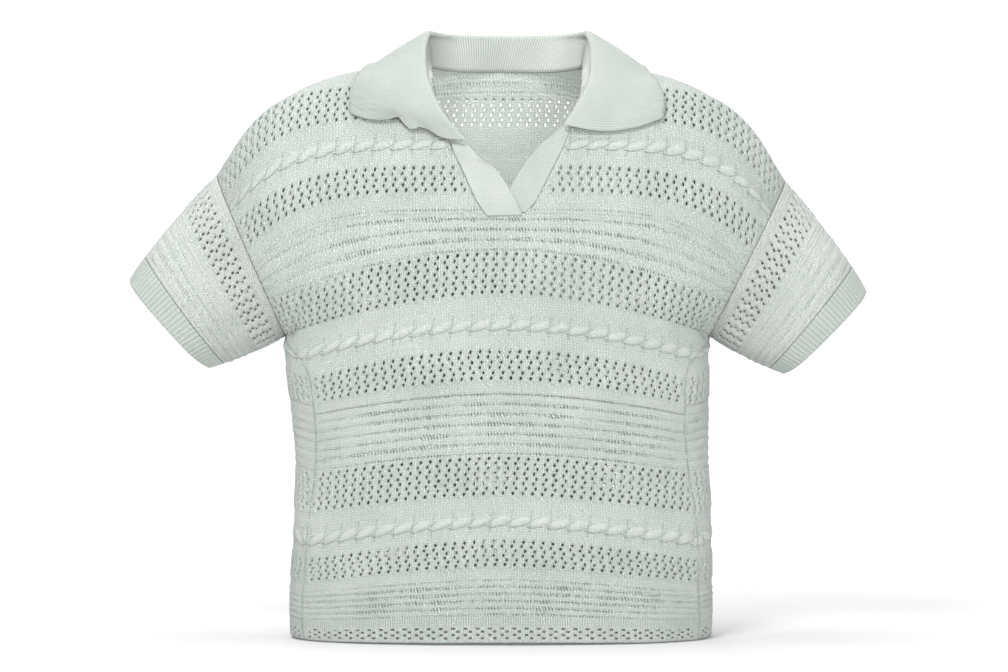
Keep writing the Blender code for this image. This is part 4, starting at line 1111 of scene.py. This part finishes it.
def makeStrip(side, material):
    # Straight lines across the strip between two edge curves, laid on the panel's surface;
    # both edges roll up by roll * exp(-(distance / rollWidth)^2).
    rows = [(i, *row) for i, row in enumerate(strips[side])]
    at = np.linspace(0, len(rows) - 1, strips["lengthSteps"] + 1)
    edges = [through(rows, c, at)[:, None] for c in (1, 2, 3, 4)]
    t = np.linspace(0, 1, strips["widthSteps"] + 1)[None, :]
    x = edges[0] + (edges[2] - edges[0]) * t
    z = edges[1] + (edges[3] - edges[1]) * t
    wall = form["wall"]
    sink = wall / 2 if side == "right" else -(strips["rimGap"] + wall / 2)
    middle = np.stack([x, frontDepth(x.ravel(), z.ravel()).reshape(x.shape) + sink, z], -1)
    normal = unit(np.cross(np.gradient(middle, axis=0), np.gradient(middle, axis=1)))
    roll = sum(np.exp(-(edge / strips["rollWidth"]) ** 2) for edge in (t, 1 - t))
    roll = strips["roll"] * roll[..., None]
    outer = middle + normal * (wall / 2)
    inner = middle - normal * (wall / 2)
    if normal[..., 1].mean() < 0:
        outer = outer + normal * roll
    else:
        inner = inner - normal * roll
    length = lengthsAlong(middle[:, 0])[:, None]
    width = np.linalg.norm(middle[:, -1] - middle[:, 0], axis=1)[:, None]
    uv = np.stack([t * width + 0 * length, length + 0 * t], -1)
    return wallPiece("knit_placket_" + side, outer, inner, plainIndex(x.shape),
                     np.ones((x.shape[0] - 1, x.shape[1] - 1), bool), uv,
                     strips["shade"] + 0 * x, material)


stripPieces = {side: makeStrip(side, ribKnit) for side in ("left", "right")}

# each piece rides on the one body and stands for its solid
for made, nodeName in ((frontPieces, "front"), (backPieces, "back")):
    for piece in made:
        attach(piece, "root")
        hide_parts(nodeName)
for side in ("left", "right"):
    for piece, nodeName, slot in ((sleeves[side], "sleeve_" + side, "mint_knit"),
                                  (cuffs[side], "cuff_" + side, "mint_rib"),
                                  (stripPieces[side], "placket_" + side, "mint_rib")):
        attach(piece, "root")
        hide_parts(nodeName)
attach(collarPiece, "root")
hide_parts("collar")

studio = {
    "camera": (0.004, -3.0, -0.251), "lens": 107.14, "sensor": 36.0,
    "floor": -0.5512, "floorColour": "E1E1E1",
    # name, place, size, power, colour
    "softboxes": [("overhead", (-0.1, 0.1, 2.2), 1.4, 26, "FFFFFF"),
                  ("key", (-0.7, -1.9, 1.6), 0.8, 40, "FFFFFF"),
                  ("front", (0.9, -3.3, -0.3), 1.2, 60, "FFFFFF"),
                  ("back", (-0.7, 3.4, 1.4), 1.4, 26, "FFFFFF")],
    "aim": (0, 0, -0.25), "sky": 0.58,
    # the sweep's own light: from a place to a place behind the jumper, from weak to strong
    "glow": (0.1, 1.6, 0.05, 0.5),
    # the sweep's rounding, how far back it begins, half the sweep's width, the wall's top and
    # how far the floor comes forward, in metres
    "sweep": (1.5, 5.0, 8.0, 7.0, 7.0),
}

camera = intoScene("camera", bpy.data.cameras.new("camera"))
camera.data.lens = studio["lens"]
camera.data.sensor_width = studio["sensor"]
camera.data.clip_end = 30
camera.location = studio["camera"]
camera.rotation_euler = (math.pi / 2, 0, 0)
bpy.context.scene.camera = camera

for name, place, size, power, colour in studio["softboxes"]:
    light = bpy.data.lights.new(name, "AREA")
    light.size = size
    light.energy = power
    light.color = linear(colour)[:3]
    lamp = intoScene(name, light)
    lamp.location = place
    aim = np.array(studio["aim"]) - np.array(place)
    lamp.rotation_euler = (math.atan2(math.hypot(aim[0], aim[1]), -aim[2]), 0,
                           math.atan2(aim[0], -aim[1]) + math.pi)

world = bpy.data.worlds.new("studio")
world.use_nodes = True
world.node_tree.nodes["Background"].inputs[0].default_value = (1, 1, 1, 1)
world.node_tree.nodes["Background"].inputs[1].default_value = studio["sky"]
bpy.context.scene.world = world
bpy.context.scene.view_settings.view_transform = "Standard"
print("camera and", len(studio["softboxes"]), "softboxes set")


def makeFloor():
    # A sweep: flat floor that rises in a quarter circle to a back wall.
    radius, back, wide, high, front = studio["sweep"]
    turn = np.linspace(0, math.pi / 2, 13)
    rounding = np.stack([back + radius * np.sin(turn), radius - radius * np.cos(turn)], -1)
    profile = np.concatenate([[[-front, 0]], rounding, [[back + radius, high]]])
    left = np.column_stack([np.full(len(profile), -wide), profile])
    right = np.column_stack([np.full(len(profile), wide), profile])
    points = np.concatenate([left, right]) + np.array([0, 0, studio["floor"]])
    n = len(profile)
    i = np.arange(n - 1)
    faces = np.stack([i, i + n, i + n + 1, i + 1], -1)
    mesh = bpy.data.meshes.new("sweep")
    mesh.from_pydata(points.tolist(), [], faces.tolist())
    mesh.shade_smooth()
    material, add = emptyMaterial("matt_paper_sweep")
    behind = add("SeparateXYZ", add("TexCoord").outputs["Object"]).outputs[1]
    glow = add("MapRange", behind, *studio["glow"])
    add("OutputMaterial", add("BsdfPrincipled", sockets={
        "Base Color": linear(studio["floorColour"]), "Roughness": 1.0, "Specular IOR Level": 0.0,
        "Emission Color": (1, 1, 1, 1), "Emission Strength": glow}))
    mesh.materials.append(material)
    floor = intoScene("sweep", mesh)


makeFloor()

print("jumper dressed")
